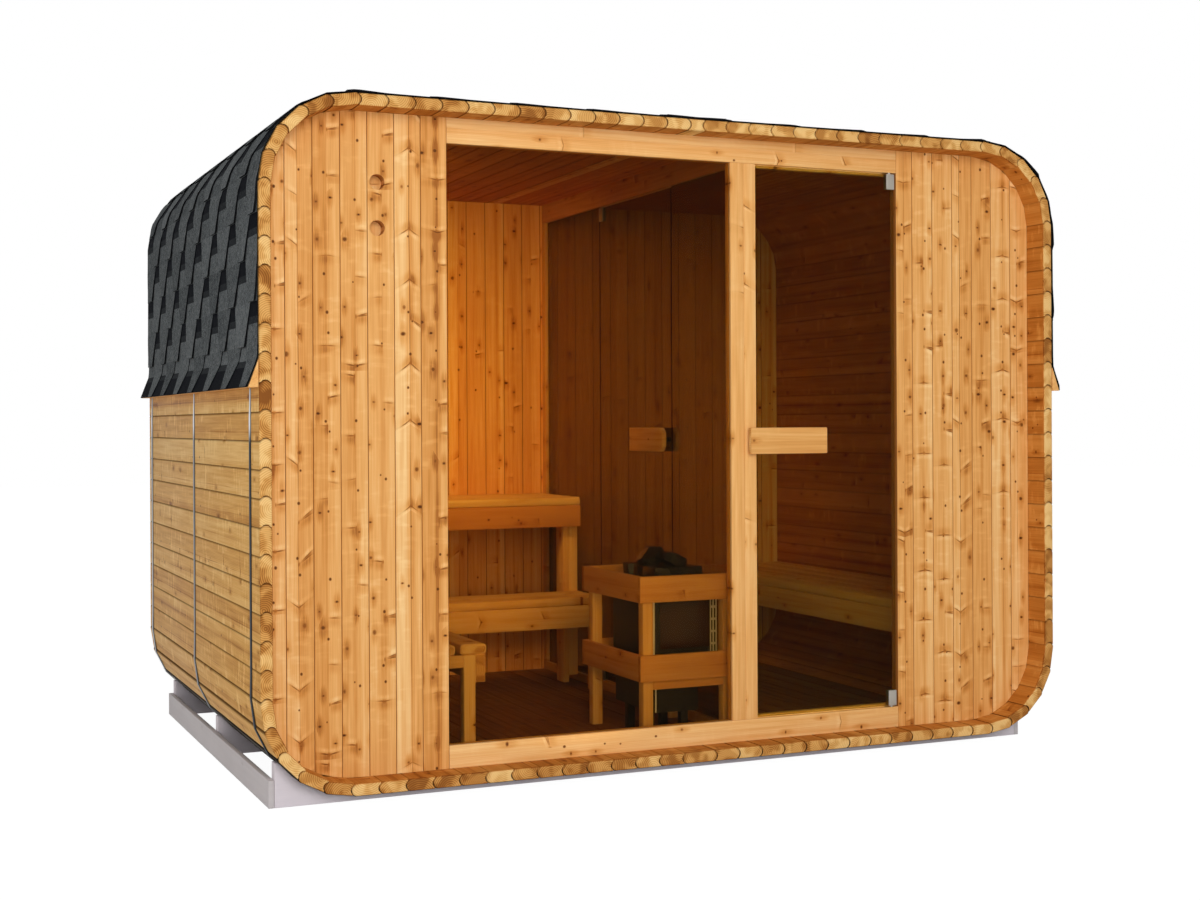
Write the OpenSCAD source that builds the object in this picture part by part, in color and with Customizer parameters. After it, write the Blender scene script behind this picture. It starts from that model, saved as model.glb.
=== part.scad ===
// Cube sauna: a rounded-corner timber shell of interlocking staves on a painted
// cradle base, with a glazed front, a glass partition, benches and a heater.
// X runs along the front, Y runs from front to back, Z is up. Millimetres.
// The origin is on the ground under the middle of the building.

/* [Shell] */
// Width of one stave along the wall
stave_pitch = 95; // [76:1:116]
// Thickness of the staves
stave_t = 42; // [34:1:52]
// How much the bead radius exceeds half the stave thickness
bead_extra = 3; // [2:0.5:6]
// Working gap in each stave joint
joint_gap = 0.4; // [0.3:0.1:0.8]
// Straight staves across the floor and the roof, an odd number
floor_count = 27; // [21:2:33]
// Straight staves up each side
side_count = 18; // [15:1:22]
// Staves that turn each corner
corner_count = 5; // [4:1:7]
// Length of the staves, front to back
stave_len = 2350; // [2250:10:2850]
// Gap left between pieces that seat on each other
seat_gap = 0.3; // [0.2:0.1:0.8]

/* [Base] */
// Height of the shell's underside above the ground
base_gap = 30; // [25:1:60]
// Thickness of the side runners
runner_t = 20; // [16:1:30]
// Height of the side runners
runner_h = 93; // [70:1:130]
// Distance from the front of the staves to the base
base_inset = 80; // [40:5:100]
// Length of the side runners
runner_len = 2030; // [1900:10:2200]
// Thickness of the cradles
cradle_t = 45; // [35:1:60]
// Height of the cradle ends
cradle_h = 150; // [110:5:180]
// How far the base's left face stands in from the shell's left side
base_in_left = 41; // [30:1:120]
// How far the base's right face stands in from the shell's right side
base_in_right = 118; // [30:1:160]

/* [Bands] */
// Width of the steel bands
band_w = 24; // [18:1:40]
// Thickness of the steel bands
band_t = 1; // [0.8:0.1:2]
// Distance from the front of the staves to the first band's centre
band_inset = 141; // [140:1:220]
// Distance between band centres
band_pitch = 1061; // [900:1:1080]

/* [Roof] */
// Straight side staves left bare below the roof
bare_count = 11; // [8:1:14]
// Shingle courses up each half of the roof
course_count = 17; // [12:1:24]
// Thickness of a course at its lower edge
course_butt = 9; // [6:0.5:14]
// Thickness of a course at its upper edge
course_head = 3; // [2:0.5:5]
// How far the drip batten stands out at its foot
drip_out = 34; // [20:1:50]
// Width of the ridge cap
ridge_w = 240; // [160:5:320]
// Thickness of the ridge cap
ridge_t = 4; // [3:0.5:8]

/* [End walls] */
// Distance from the ends of the staves to the faces of the end walls
recess = 105; // [80:1:130]
// Thickness of the end walls
wall_t = 45; // [38:1:60]
// Width of the glazed opening
glazed_w = 1856; // [1600:2:2100]
// Width of the door opening
door_w = 631; // [600:1:800]
// Width of the post between window and door
post_w = 107; // [80:1:140]
// Height of the sill above the floor
sill_h = 80; // [60:1:120]
// Height of the head below the ceiling
head_h = 89; // [70:1:140]
// Diameter of the vent holes
vent_d = 54; // [40:1:80]
// Distance of the vent holes from the window's edge
vent_in = 250; // [150:5:320]
// Drop of the upper vent hole below the ceiling
vent_drop = 239; // [180:1:360]
// Distance between the vent holes
vent_pitch = 158; // [120:1:220]

/* [Glass and doors] */
// Thickness of the glass
glass_t = 8; // [6:1:12]
// Depth of the grooves that hold the panes
groove = 12; // [8:1:20]
// Distance of the window glass behind the wall face
window_set = 15; // [10:1:25]
// Distance of the door glass behind the wall face
door_set = 3; // [2:1:8]
// Clearance round a door glass
door_gap = 6; // [5:0.5:8]
// Distance from the jamb to the door's turning axis
pivot_in = 28; // [26:1:40]
// Radius of the pivot pins
pivot_r = 6; // [4:0.5:8]
// Height of the corner fittings
patch_h = 60; // [45:1:90]
// Thickness of the corner fittings
patch_t = 22; // [18:1:30]
// Height of the handles' centres above the floor
handle_z = 1135; // [950:5:1200]
// Length of a handle board
handle_len = 333; // [260:1:420]
// Height of a handle board
handle_h = 100; // [70:1:120]
// Thickness of a handle board
handle_t = 20; // [15:1:30]
// Space between a handle board and the glass
handle_off = 18; // [15:1:30]
// How far the outer handle reaches past the door's edge
handle_lap = 47; // [0:1:60]

/* [Partition] */
// Distance from the post's door edge to the partition glass
partition_in = 29; // [25:1:60]
// Width of the partition frame
frame_w = 40; // [34:1:60]
// Height of the partition's bottom rail
rail_h = 40; // [30:1:80]
// Distance from the front wall to the inner door
inner_door_from = 621; // [500:1:700]
// Width of the inner door opening
inner_door_w = 752; // [690:1:800]

/* [Benches] */
// Height of the upper bench above the floor
upper_h = 863; // [800:5:950]
// Depth of the upper bench
upper_d = 500; // [420:5:600]
// Height of the lower bench above the floor
lower_h = 426; // [380:2:480]
// Depth of the lower bench
lower_d = 290; // [240:5:400]
// How far the lower bench reaches under the upper one
lower_under = 40; // [0:5:120]
// Height of the side bench above the floor
side_h = 422; // [380:2:480]
// Depth of the side bench from the left wall
side_d = 797; // [600:1:850]
// Height of the vestibule bench above the floor
rest_h = 478; // [420:2:520]
// Depth of the vestibule bench
rest_d = 520; // [400:5:560]
// Thickness of the bench slats
slat_t = 38; // [28:1:45]
// Gap between bench slats
slat_gap = 19; // [12:1:25]
// Height of the front boards under the benches
fascia_h = 98; // [70:1:120]
// Thickness of the bench boards
board_t = 27; // [20:1:40]
// Width of the bench legs
leg_w = 43; // [35:1:60]

/* [Heater] */
// Width of the heater
heater_w = 255; // [220:5:300]
// Depth of the heater
heater_d = 390; // [300:5:420]
// Height of the heater's body
heater_h = 465; // [400:5:520]
// Height of the heater's feet
heater_foot = 104; // [60:2:140]
// Height of the narrower casing under the heater's jacket
heater_low = 92; // [70:1:110]
// Thickness of the heater's steel jacket
jacket_t = 10; // [4:1:20]
// Width of the guard round the heater
guard_w = 398; // [360:1:420]
// Depth of the guard round the heater
guard_d = 560; // [480:5:600]
// Height of the guard's top above the floor
guard_h = 631; // [560:1:700]
// Height of the guard's boards
guard_board = 98; // [70:1:120]
// Drop from the top board to the lower one
guard_drop = 295; // [220:5:340]

/* [Hidden] */

wood = [0.85, 0.62, 0.36];
dark_wood = [0.66, 0.42, 0.20];
paint = [0.74, 0.72, 0.72];
steel = [0.72, 0.73, 0.74];
shingle = [0.22, 0.24, 0.26];
glass = [0.45, 0.38, 0.28, 0.45];

bead_r = stave_t / 2 + bead_extra;
turn = 90 / corner_count;
half_count = (floor_count - 1) / 2;

// The mid-line of the shell: straight rows joined by corners whose staves turn
// by an equal angle at each bead.
function arc_x(j) = j <= 0 ? 0 : arc_x(j - 1) + stave_pitch * cos(turn * (j - 0.5));
function arc_z(j) = j <= 0 ? 0 : arc_z(j - 1) + stave_pitch * sin(turn * (j - 0.5));
leg = arc_x(corner_count);
flat_half = floor_count * stave_pitch / 2;
mid_w = flat_half + leg;
mid_z0 = base_gap + stave_t / 2;
mid_z1 = mid_z0 + 2 * leg + side_count * stave_pitch;

floor_z = base_gap + stave_t;
ceiling_z = mid_z1 - stave_t / 2;
inner_x = mid_w - stave_t / 2;
outer_x = mid_w + stave_t / 2;

// Headings of the staves of the right half, from the starter under the floor,
// up the side and back along the roof.
heads = concat([for (i = [0:half_count - 1]) 0],
               [for (k = [0:corner_count - 1]) turn * (k + 0.5)],
               [for (i = [0:side_count - 1]) 90],
               [for (k = [0:corner_count - 1]) 90 + turn * (k + 0.5)],
               [for (i = [0:half_count - 1]) 180]);
// Bead centres along the same half.
beads = [for (i = 0, q = [stave_pitch / 2, mid_z0]; i <= len(heads);
              q = i < len(heads) ? q + stave_pitch * [cos(heads[i]), sin(heads[i])] : q,
              i = i + 1) q];
first_low = half_count;
first_side = first_low + corner_count;
first_high = first_side + side_count;
first_roof = first_high + corner_count;

// Outlines that run round the rooms at a distance h outside the shell's mid-line.
function out_dir(j) = j == 0 ? turn / 4 : j == corner_count ? 90 - turn / 4 : turn * j;
function out_half(j) = (j == 0 || j == corner_count) ? turn / 4 : turn / 2;
function out_vec(j, h) = h / cos(out_half(j)) * [sin(out_dir(j)), cos(out_dir(j))];
function high_corner(h) = [for (j = [0:corner_count])
  [flat_half + arc_x(j), mid_z1 - arc_z(j)] + out_vec(j, h)];
function flip_x(list) = [for (i = [len(list) - 1:-1:0]) [-list[i][0], list[i][1]]];
function flip_z(list) = [for (i = [len(list) - 1:-1:0]) [list[i][0], mid_z0 + mid_z1 - list[i][1]]];
function right_half(h) = concat(high_corner(h), flip_z(high_corner(h)));
function ring(h) = concat(right_half(h), flip_x(right_half(h)));

// Outlines over the outside of the shell. In a corner each bead's shoulder stands
// a little proud of the next stave, so the line runs from shoulder to shoulder,
// h clear of them, and comes back to the staves' faces one stave further on.
shoulder = sqrt(bead_r * bead_r - stave_t * stave_t / 4);
function out_normal(a) = [sin(a), -cos(a)];
function shoulder_at(k, h) = beads[k] + shoulder * [cos(heads[k - 1]), sin(heads[k - 1])]
  + stave_t / 2 * out_normal(heads[k - 1])
  + h / cos((heads[k] - heads[k - 1]) / 2) * out_normal((heads[k] + heads[k - 1]) / 2);
function low_shoulders(h) = concat([for (k = [first_low:first_side]) shoulder_at(k, h)],
                                   [[outer_x + h, beads[first_side + 1][1]]]);
function high_shoulders(h) = concat([for (k = [first_high:first_roof]) shoulder_at(k, h)],
                                    [[beads[first_roof + 1][0], mid_z1 + stave_t / 2 + h]]);
function jacket(h) = concat(low_shoulders(h), high_shoulders(h),
                            flip_x(concat(low_shoulders(h), high_shoulders(h))));

// Depths measured from the front ends of the staves.
front_y = -stave_len / 2;
room_y0 = front_y + recess + wall_t;
room_y1 = -front_y - recess - wall_t;
wall_y = front_y + recess;

// The glazed front.
open_x0 = -glazed_w / 2;
open_x1 = glazed_w / 2;
door_x0 = open_x1 - door_w;
post_x0 = door_x0 - post_w;
sill_z = floor_z + sill_h;
head_z = ceiling_z - head_h;
window_y = wall_y + window_set;
door_y = wall_y + door_set;
stop_y = door_y + glass_t + door_gap;
pivot_x = open_x1 - pivot_in;
pivot_y = door_y + glass_t / 2;
patch_half = pivot_in - 10;
patch_swing = norm([patch_half, patch_t / 2]) + door_gap;
core_h = patch_h / 2;
pin_in = 16;
pin_up = 25;
handle_mid = floor_z + handle_z;

// The partition and the inner door, whose length runs along Y.
part_x = door_x0 - partition_in;
part_z0 = floor_z + rail_h;
inner_y0 = room_y0 + inner_door_from;
inner_y1 = inner_y0 + inner_door_w;

eps = 0.01;

module slab(x0, x1, y0, y1, z0, z1) {
  translate([x0, y0, z0]) cube([x1 - x0, y1 - y0, z1 - z0]);
}

// A profile drawn in X and Z, carried along Y from y0 for a length.
module along(y0, length) {
  translate([0, y0 + length, 0]) rotate([90, 0, 0]) linear_extrude(height = length) children();
}

module both_sides() {
  children();
  mirror([1, 0, 0]) children();
}

// ---- Shell ----

// One stave, from its bead socket at the origin to its bead one pitch away.
module stave_profile() {
  difference() {
    union() {
      translate([0, -stave_t / 2]) square([stave_pitch, stave_t]);
      intersection() {
        translate([stave_pitch, 0]) circle(r = bead_r, $fn = 40);
        translate([stave_pitch - bead_r, -stave_t / 2]) square([2 * bead_r, stave_t]);
      }
    }
    circle(r = bead_r + joint_gap, $fn = 40);
  }
}

module stave(i) {
  along(front_y, stave_len)
    translate(beads[i]) rotate(heads[i]) stave_profile();
}

module stave_run(first, count) {
  for (i = [first:first + count - 1]) stave(i);
}

// The first stave under the floor has a bead on both sides.
module starter_stave() {
  along(front_y, stave_len) translate([0, mid_z0]) {
    square([stave_pitch, stave_t], center = true);
    for (s = [-1, 1]) intersection() {
      translate([s * stave_pitch / 2, 0]) circle(r = bead_r, $fn = 40);
      translate([s * stave_pitch / 2 - bead_r, -stave_t / 2]) square([2 * bead_r, stave_t]);
    }
  }
}

// The last stave, which closes the roof, has a socket on both sides.
module closer_stave() {
  along(front_y, stave_len) translate([0, mid_z1]) difference() {
    square([stave_pitch, stave_t], center = true);
    for (s = [-1, 1]) translate([s * stave_pitch / 2, 0]) circle(r = bead_r + joint_gap, $fn = 40);
  }
}

module floor_staves() {
  color(wood) {
    starter_stave();
    both_sides() stave_run(0, half_count);
  }
}

module roof_staves() {
  color(wood) {
    closer_stave();
    both_sides() stave_run(first_roof, half_count);
  }
}

module left_wall_staves() {
  color(wood) mirror([1, 0, 0]) stave_run(first_side, side_count);
}

module right_wall_staves() {
  color(wood) stave_run(first_side, side_count);
}

module lower_corner_staves() {
  color(wood) both_sides() stave_run(first_low, corner_count);
}

module upper_corner_staves() {
  color(wood) both_sides() stave_run(first_high, corner_count);
}

module bands() {
  color(steel)
    for (k = [0:2])
      along(front_y + band_inset + k * band_pitch - band_w / 2, band_w)
        difference() {
          polygon(jacket(seat_gap + band_t));
          polygon(jacket(seat_gap));
        }
}

// ---- Base ----

base_x0 = base_in_left - outer_x;
base_x1 = outer_x - base_in_right;
base_y = front_y + base_inset;

module cradles() {
  x0 = base_x0 + runner_t + seat_gap;
  x1 = base_x1 - runner_t - seat_gap;
  color(paint)
    for (k = [0:2])
      along(base_y + k * (runner_len - cradle_t) / 2, cradle_t)
        difference() {
          translate([x0, 0]) square([x1 - x0, cradle_h]);
          polygon(jacket(seat_gap));
        }
}

module runners() {
  color(paint)
    for (x = [base_x0, base_x1 - runner_t])
      along(base_y, runner_len)
        difference() {
          translate([x, 0]) square([runner_t, runner_h]);
          polygon(jacket(lift));
        }
}

// ---- Roof ----

// The line that the shingles of the right half lie on: up the drip batten's
// slope, up the side, round the corner and across to the ridge.
lift = seat_gap + band_t + seat_gap;
drip_z = mid_z0 + leg + bare_count * stave_pitch;
ridge_z = mid_z1 + stave_t / 2 + lift;
roof_line = concat([[outer_x + lift + drip_out, drip_z], [outer_x + lift, drip_z + stave_pitch]],
                   high_shoulders(lift), [[0, ridge_z]]);
function run(i) = i <= 0 ? 0 : run(i - 1) + norm(roof_line[i] - roof_line[i - 1]);
roof_run = run(len(roof_line) - 1);
function seg_of(s, i = 1) = (i >= len(roof_line) - 1 || run(i) >= s) ? i : seg_of(s, i + 1);
function unit(v) = v / norm(v);
function seg_dir(i) = unit(roof_line[i] - roof_line[i - 1]);
function left_of(v) = [v[1], -v[0]];
function roof_at(s) = let (i = seg_of(s)) roof_line[i - 1] + (s - run(i - 1)) * seg_dir(i);
function bend_dir(i) = let (a = left_of(seg_dir(i)), b = left_of(seg_dir(i + 1)))
  unit(a + b) / (unit(a + b) * a);

// One course: a wedge from s0 to s1, thick at its lower edge.
module course_profile(s0, s1) {
  i0 = seg_of(s0 + eps);
  i1 = seg_of(s1 - eps);
  mids = i1 > i0 ? [for (i = [i0:i1 - 1]) i] : [];
  foot = concat([roof_at(s0)], [for (i = mids) roof_line[i]], [roof_at(s1)]);
  nrm = concat([left_of(seg_dir(i0))], [for (i = mids) bend_dir(i)], [left_of(seg_dir(i1))]);
  at = concat([s0], [for (i = mids) run(i)], [s1]);
  top = [for (k = [len(foot) - 1:-1:0]) foot[k] + nrm[k]
         * (course_butt + (course_head - course_butt) * (at[k] - s0) / (s1 - s0))];
  polygon(concat(foot, top));
}

module shingle_half() {
  step = roof_run / course_count;
  for (k = [0:course_count - 1])
    along(front_y, stave_len)
      course_profile(k * step + (k == 0 ? 0 : seat_gap / 2), (k + 1) * step - seat_gap / 2);
}

module shingles_right() { color(shingle) shingle_half(); }
module shingles_left() { color(shingle) mirror([1, 0, 0]) shingle_half(); }

// The ridge cap lies over the upper edges of the last courses.
module ridge_cap() {
  z0 = ridge_z + seat_gap;
  step = roof_run / course_count;
  rise = course_head + (course_butt - course_head) * ridge_w / 2 / step;
  color(shingle) along(front_y, stave_len)
    polygon([[0, z0 + course_head], [ridge_w / 2, z0 + rise], [ridge_w / 2, z0 + rise + ridge_t],
             [0, z0 + course_head + ridge_t], [-ridge_w / 2, z0 + rise + ridge_t],
             [-ridge_w / 2, z0 + rise]]);
}

module drip_battens() {
  x = outer_x + lift;
  color(wood) both_sides() along(front_y, stave_len)
    polygon([[x, drip_z], [x + drip_out - seat_gap, drip_z], [x, drip_z + stave_pitch - seat_gap * 3]]);
}

// ---- End walls ----

module wall_outline() { polygon(ring(-stave_t / 2 - seat_gap)); }

// The space that the window pane and its grooves take.
module glazing(extra) {
  slab(open_x0 - groove, post_x0 + groove, window_y - extra, window_y + glass_t + extra,
       sill_z - groove, head_z + groove);
}

module front_panel_left() {
  vent_x = open_x0 - vent_in;
  color(wood) difference() {
    along(wall_y, wall_t) intersection() {
      wall_outline();
      translate([-outer_x, 0]) square([outer_x + open_x0, 2 * mid_z1]);
    }
    glazing(seat_gap);
    for (k = [0, 1])
      translate([vent_x, wall_y - 1, ceiling_z - vent_drop - k * vent_pitch])
        rotate([-90, 0, 0]) cylinder(d = vent_d, h = wall_t + 2, $fn = 48);
  }
}

module front_panel_right() {
  color(wood) along(wall_y, wall_t) intersection() {
    wall_outline();
    translate([open_x1, 0]) square([outer_x, 2 * mid_z1]);
  }
}

// The head is two boards, with a stop behind the door's top edge.
module head_rail() {
  split = head_z + head_h * 0.6;
  x0 = open_x0 + seat_gap;
  x1 = open_x1 - seat_gap;
  color(wood) difference() {
    union() {
      slab(x0, x1, wall_y, wall_y + wall_t, head_z, split - seat_gap / 2);
      slab(x0, x1, wall_y, wall_y + wall_t, split + seat_gap / 2, ceiling_z - seat_gap);
      slab(door_x0, x1, stop_y, wall_y + wall_t, head_z - groove, head_z + eps);
    }
    glazing(seat_gap);
    translate([pivot_x, pivot_y, head_z - 1]) cylinder(r = pivot_r + 0.2, h = pin_up + 1.5, $fn = 32);
    slab(pivot_x - patch_swing, open_x1 + 1, stop_y - 1, pivot_y + patch_swing,
         head_z - groove - 1, head_z);
  }
}

module sill_rail() {
  color(wood) difference() {
    union() {
      slab(open_x0 + seat_gap, open_x1 - seat_gap, wall_y, wall_y + wall_t, floor_z + seat_gap, sill_z);
      slab(door_x0, open_x1 - seat_gap, stop_y, wall_y + wall_t, sill_z - eps, sill_z + groove);
    }
    glazing(seat_gap);
    translate([pivot_x, pivot_y, sill_z - pin_up - 0.5]) cylinder(r = pivot_r + 0.2, h = pin_up + 1.5, $fn = 32);
    slab(pivot_x - patch_swing, open_x1 + 1, stop_y - 1, pivot_y + patch_swing,
         sill_z, sill_z + groove + 1);
  }
}

// The post carries the window pane on one side and the door's stop on the other.
module mullion_post() {
  z0 = sill_z + seat_gap;
  z1 = head_z - seat_gap;
  color(wood) difference() {
    union() {
      slab(post_x0, door_x0, wall_y, wall_y + wall_t, z0, z1);
      slab(door_x0 - eps, door_x0 + groove, stop_y, wall_y + wall_t, z0 + groove, z1 - groove);
    }
    glazing(seat_gap);
  }
}

module window_glass() {
  g = seat_gap;
  color(glass) slab(open_x0 - groove + g, post_x0 + groove - g, window_y, window_y + glass_t,
                    sill_z - groove + g, head_z + groove - g);
}

// A sliding board closes the vent holes from inside.
module vent_slider() {
  x = open_x0 - vent_in;
  w = vent_d + 50;
  z1 = ceiling_z - vent_drop + vent_d / 2 + 25;
  z0 = ceiling_z - vent_drop - vent_pitch - vent_d / 2 - 25;
  y = room_y0 + seat_gap;
  color(wood) {
    slab(x - w / 2, x + w / 2, y, y + 12, z0, z1);
    for (s = [-1, 1]) slab(x + s * (w / 2 + 11) - 10, x + s * (w / 2 + 11) + 10, y, y + 18, z0, z1);
  }
}

module back_wall() {
  color(wood) along(room_y1, wall_t) wall_outline();
}

// ---- Doors ----

// A corner fitting seen from its turning axis: a clamp over the glass and a
// solid core, bored for the pivot pin. It hangs down from z = 0.
module patch() {
  difference() {
    translate([-patch_half, -patch_t / 2, -patch_h]) cube([2 * patch_half, patch_t, patch_h]);
    translate([-patch_half - 1, -glass_t / 2 - seat_gap, -patch_h - 1])
      cube([2 * patch_half + 2, glass_t + 2 * seat_gap, patch_h - core_h + 1]);
    translate([0, 0, -pin_in - 2]) cylinder(r = pivot_r + 0.3, h = pin_in + 3, $fn = 32);
  }
}

// The notch that a corner fitting's core takes out of the glass.
module patch_notch() {
  translate([-patch_half - seat_gap, -glass_t, -core_h - seat_gap])
    cube([3 * patch_half, 2 * glass_t, core_h + 10]);
}

// A door leaf in its own frame: the axis is Z, the glass runs towards -X.
// w is from the axis to the latch edge, h0 and h1 the lower and upper edges.
module leaf_glass(w, h0, h1, rods) {
  difference() {
    translate([-w, -glass_t / 2, h0]) cube([w + patch_half + 1, glass_t, h1 - h0]);
    translate([0, 0, h1]) patch_notch();
    translate([0, 0, h0]) mirror([0, 0, 1]) patch_notch();
    for (x = rods) translate([x, -glass_t, handle_mid]) rotate([-90, 0, 0])
      cylinder(r = 6.5, h = 2 * glass_t, $fn = 24);
  }
}

module leaf_fittings(h0, h1, rods) {
  translate([0, 0, h1]) patch();
  translate([0, 0, h0]) mirror([0, 0, 1]) patch();
  for (x = rods) translate([x, 0, handle_mid]) rotate([-90, 0, 0]) {
    translate([0, 0, -glass_t / 2 - handle_off]) cylinder(r = 6, h = glass_t + 2 * handle_off, $fn = 24);
    for (s = [-1, 1]) translate([0, 0, s * (glass_t / 2 + seat_gap + (handle_off - seat_gap) / 2)
                                      - (handle_off - seat_gap) / 2])
      cylinder(r = 10, h = handle_off - seat_gap, $fn = 24);
  }
}

module leaf_pins(h0, h1) {
  translate([0, 0, h1 - pin_in]) cylinder(r = pivot_r, h = pin_in + door_gap + pin_up, $fn = 32);
  translate([0, 0, h0 - door_gap - pin_up]) cylinder(r = pivot_r, h = pin_in + door_gap + pin_up, $fn = 32);
}

door_reach = pivot_x - door_x0 - door_gap;
leaf_z0 = sill_z + door_gap;
leaf_z1 = head_z - door_gap;
handle_x1 = -door_reach - handle_lap + handle_len;
door_rods = [-door_reach + 45, handle_x1 - 45];

module at_front_door() { translate([pivot_x, pivot_y, 0]) children(); }

module door_glass() { color(glass) at_front_door() leaf_glass(door_reach, leaf_z0, leaf_z1, door_rods); }
module door_fittings() { color(steel) at_front_door() leaf_fittings(leaf_z0, leaf_z1, door_rods); }
module door_pivots() { color(steel) at_front_door() leaf_pins(leaf_z0, leaf_z1); }

// The outer board laps the post; the inner one stops short of the stop.
module door_handle() {
  y = glass_t / 2 + handle_off;
  z0 = handle_mid - handle_h / 2;
  color(wood) at_front_door() {
    slab(-door_reach - handle_lap, handle_x1, -y - handle_t, -y, z0, z0 + handle_h);
    slab(-door_reach + groove + door_gap, handle_x1, y, y + handle_t, z0, z0 + handle_h);
  }
}

// The inner door turns about an axis at its back edge and opens to the right.
inner_pivot_y = inner_y1 - pivot_in;
inner_reach = inner_pivot_y - inner_y0 - door_gap;
inner_z0 = part_z0 + door_gap;
inner_z1 = head_z - door_gap;
inner_rods = [-inner_reach + 60, -inner_reach + handle_len - 30];

module at_inner_door() { translate([part_x, inner_pivot_y, 0]) rotate([0, 0, 90]) children(); }

module inner_door_glass() {
  color(glass) at_inner_door() leaf_glass(inner_reach, inner_z0, inner_z1, inner_rods);
}
module inner_door_fittings() {
  color(steel) at_inner_door() leaf_fittings(inner_z0, inner_z1, inner_rods);
}
module inner_door_pivots() { color(steel) at_inner_door() leaf_pins(inner_z0, inner_z1); }

// Boards whose ends are bevelled towards the latch edge.
module bevelled_board(x0, x1, y0, y1, z0, z1) {
  c = 22;
  translate([0, y1, 0]) rotate([90, 0, 0]) linear_extrude(height = y1 - y0)
    polygon([[x0 + c, z0], [x1, z0], [x1, z1], [x0 + c, z1], [x0, z1 - c], [x0, z0 + c]]);
}

module inner_door_handle() {
  y = glass_t / 2 + handle_off;
  z0 = handle_mid - handle_h / 2;
  x0 = -inner_reach + 12;
  color(wood) at_inner_door() {
    bevelled_board(x0, x0 + handle_len, y, y + handle_t, z0, z0 + handle_h);
    bevelled_board(x0, x0 + handle_len, -y - handle_t, -y, z0, z0 + handle_h);
  }
}

// ---- Partition ----

module pane_grooves(extra) {
  slab(part_x - glass_t / 2 - extra, part_x + glass_t / 2 + extra, room_y0 - groove, inner_y0,
       part_z0 - groove, head_z + groove);
  slab(part_x - glass_t / 2 - extra, part_x + glass_t / 2 + extra, inner_y1, room_y1 - frame_w + groove,
       part_z0 - groove, head_z + groove);
}

module partition_frame() {
  x0 = part_x - frame_w / 2;
  x1 = part_x + frame_w / 2;
  g = seat_gap;
  color(wood) difference() {
    union() {
      slab(x0, x1, room_y0 + g, room_y1 - g, head_z, ceiling_z - g);
      slab(x0, x1, room_y0 + g, room_y1 - g, floor_z + g, part_z0);
      slab(x0, x1, room_y1 - frame_w, room_y1 - g, part_z0 + g, head_z - g);
    }
    pane_grooves(g);
    translate([part_x, inner_pivot_y, head_z - 1]) cylinder(r = pivot_r + 0.2, h = pin_up + 1.5, $fn = 32);
    translate([part_x, inner_pivot_y, part_z0 - pin_up - 0.5]) cylinder(r = pivot_r + 0.2, h = pin_up + 1.5, $fn = 32);
  }
}

module partition_panes() {
  g = seat_gap;
  color(glass) {
    slab(part_x - glass_t / 2, part_x + glass_t / 2, room_y0 + g, inner_y0,
         part_z0 - groove + g, head_z + groove - g);
    slab(part_x - glass_t / 2, part_x + glass_t / 2, inner_y1, room_y1 - frame_w + groove - g,
         part_z0 - groove + g, head_z + groove - g);
  }
}

// ---- Benches ----

bench_x0 = -inner_x + seat_gap;
bench_x1 = part_x - frame_w / 2 - 10;

// Slats of equal width that run along X and fill the depth d from y0.
module slats_x(x0, x1, y0, d, top, n) {
  w = (d - (n - 1) * slat_gap) / n;
  for (k = [0:n - 1]) slab(x0, x1, y0 + k * (w + slat_gap), y0 + k * (w + slat_gap) + w, top - slat_t, top);
}

module slats_y(x0, d, y0, y1, top, n) {
  w = (d - (n - 1) * slat_gap) / n;
  for (k = [0:n - 1]) slab(x0 + k * (w + slat_gap), x0 + k * (w + slat_gap) + w, y0, y1, top - slat_t, top);
}

upper_z = floor_z + upper_h;
upper_y = room_y1 - seat_gap - upper_d;
lower_z = floor_z + lower_h;
lower_y = upper_y + lower_under - lower_d;
side_z = floor_z + side_h;
rest_z = floor_z + rest_h;
side_y1 = lower_y - seat_gap - slat_gap;

module upper_bench_slats() {
  color(wood) slats_x(bench_x0, bench_x1, upper_y, upper_d, upper_z, 5);
}

// A front board, a ledger at the wall, cross bearers and a pair of leg boards.
module upper_bench_frame() {
  z1 = upper_z - slat_t - seat_gap;
  z0 = z1 - fascia_h;
  g = seat_gap;
  color(wood) {
    slab(bench_x0, bench_x1, upper_y, upper_y + board_t, z0, z1);
    slab(bench_x0, bench_x1, room_y1 - g - board_t, room_y1 - g, z0, z1);
    for (x = [bench_x0, (bench_x0 + bench_x1) / 2, bench_x1 - leg_w])
      slab(x, x + leg_w, upper_y + board_t + g, room_y1 - 2 * g - board_t, z0 + 30, z1);
    slab(bench_x1 - leg_w, bench_x1, upper_y + lower_under + 2 * g, upper_y + lower_under + 2 * g + 45,
         floor_z + 33, z0 + 30 - g);
    slab(bench_x1 - leg_w - board_t - g, bench_x1 - leg_w - g, upper_y + lower_under + 2 * g,
         upper_y + lower_under + 90, floor_z + g, z1);
  }
}

module lower_bench_slats() {
  color(wood) slats_x(bench_x0, bench_x1, lower_y, lower_d, lower_z, 3);
}

module lower_bench_frame() {
  z1 = lower_z - slat_t - seat_gap;
  z0 = z1 - fascia_h;
  g = seat_gap;
  y1 = lower_y + lower_d;
  color(wood) {
    slab(bench_x0, bench_x1, lower_y, lower_y + board_t, z0, z1);
    slab(bench_x0, bench_x1, y1 - board_t, y1, z0, z1);
    for (x = [bench_x0, (bench_x0 + bench_x1) / 2, bench_x1 - leg_w])
      slab(x, x + leg_w, lower_y + board_t + g, y1 - board_t - g, z0 + 30, z1);
    for (x = [bench_x0 + 330, (bench_x0 + bench_x1) / 2, bench_x1 - leg_w])
      slab(x, x + leg_w, lower_y + board_t + g, lower_y + board_t + g + leg_w, floor_z + g, z0 + 30 - g);
  }
}

module side_bench_slats() {
  color(wood) slats_y(bench_x0, side_d, room_y0 + 15, side_y1, side_z, 7);
}

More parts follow.
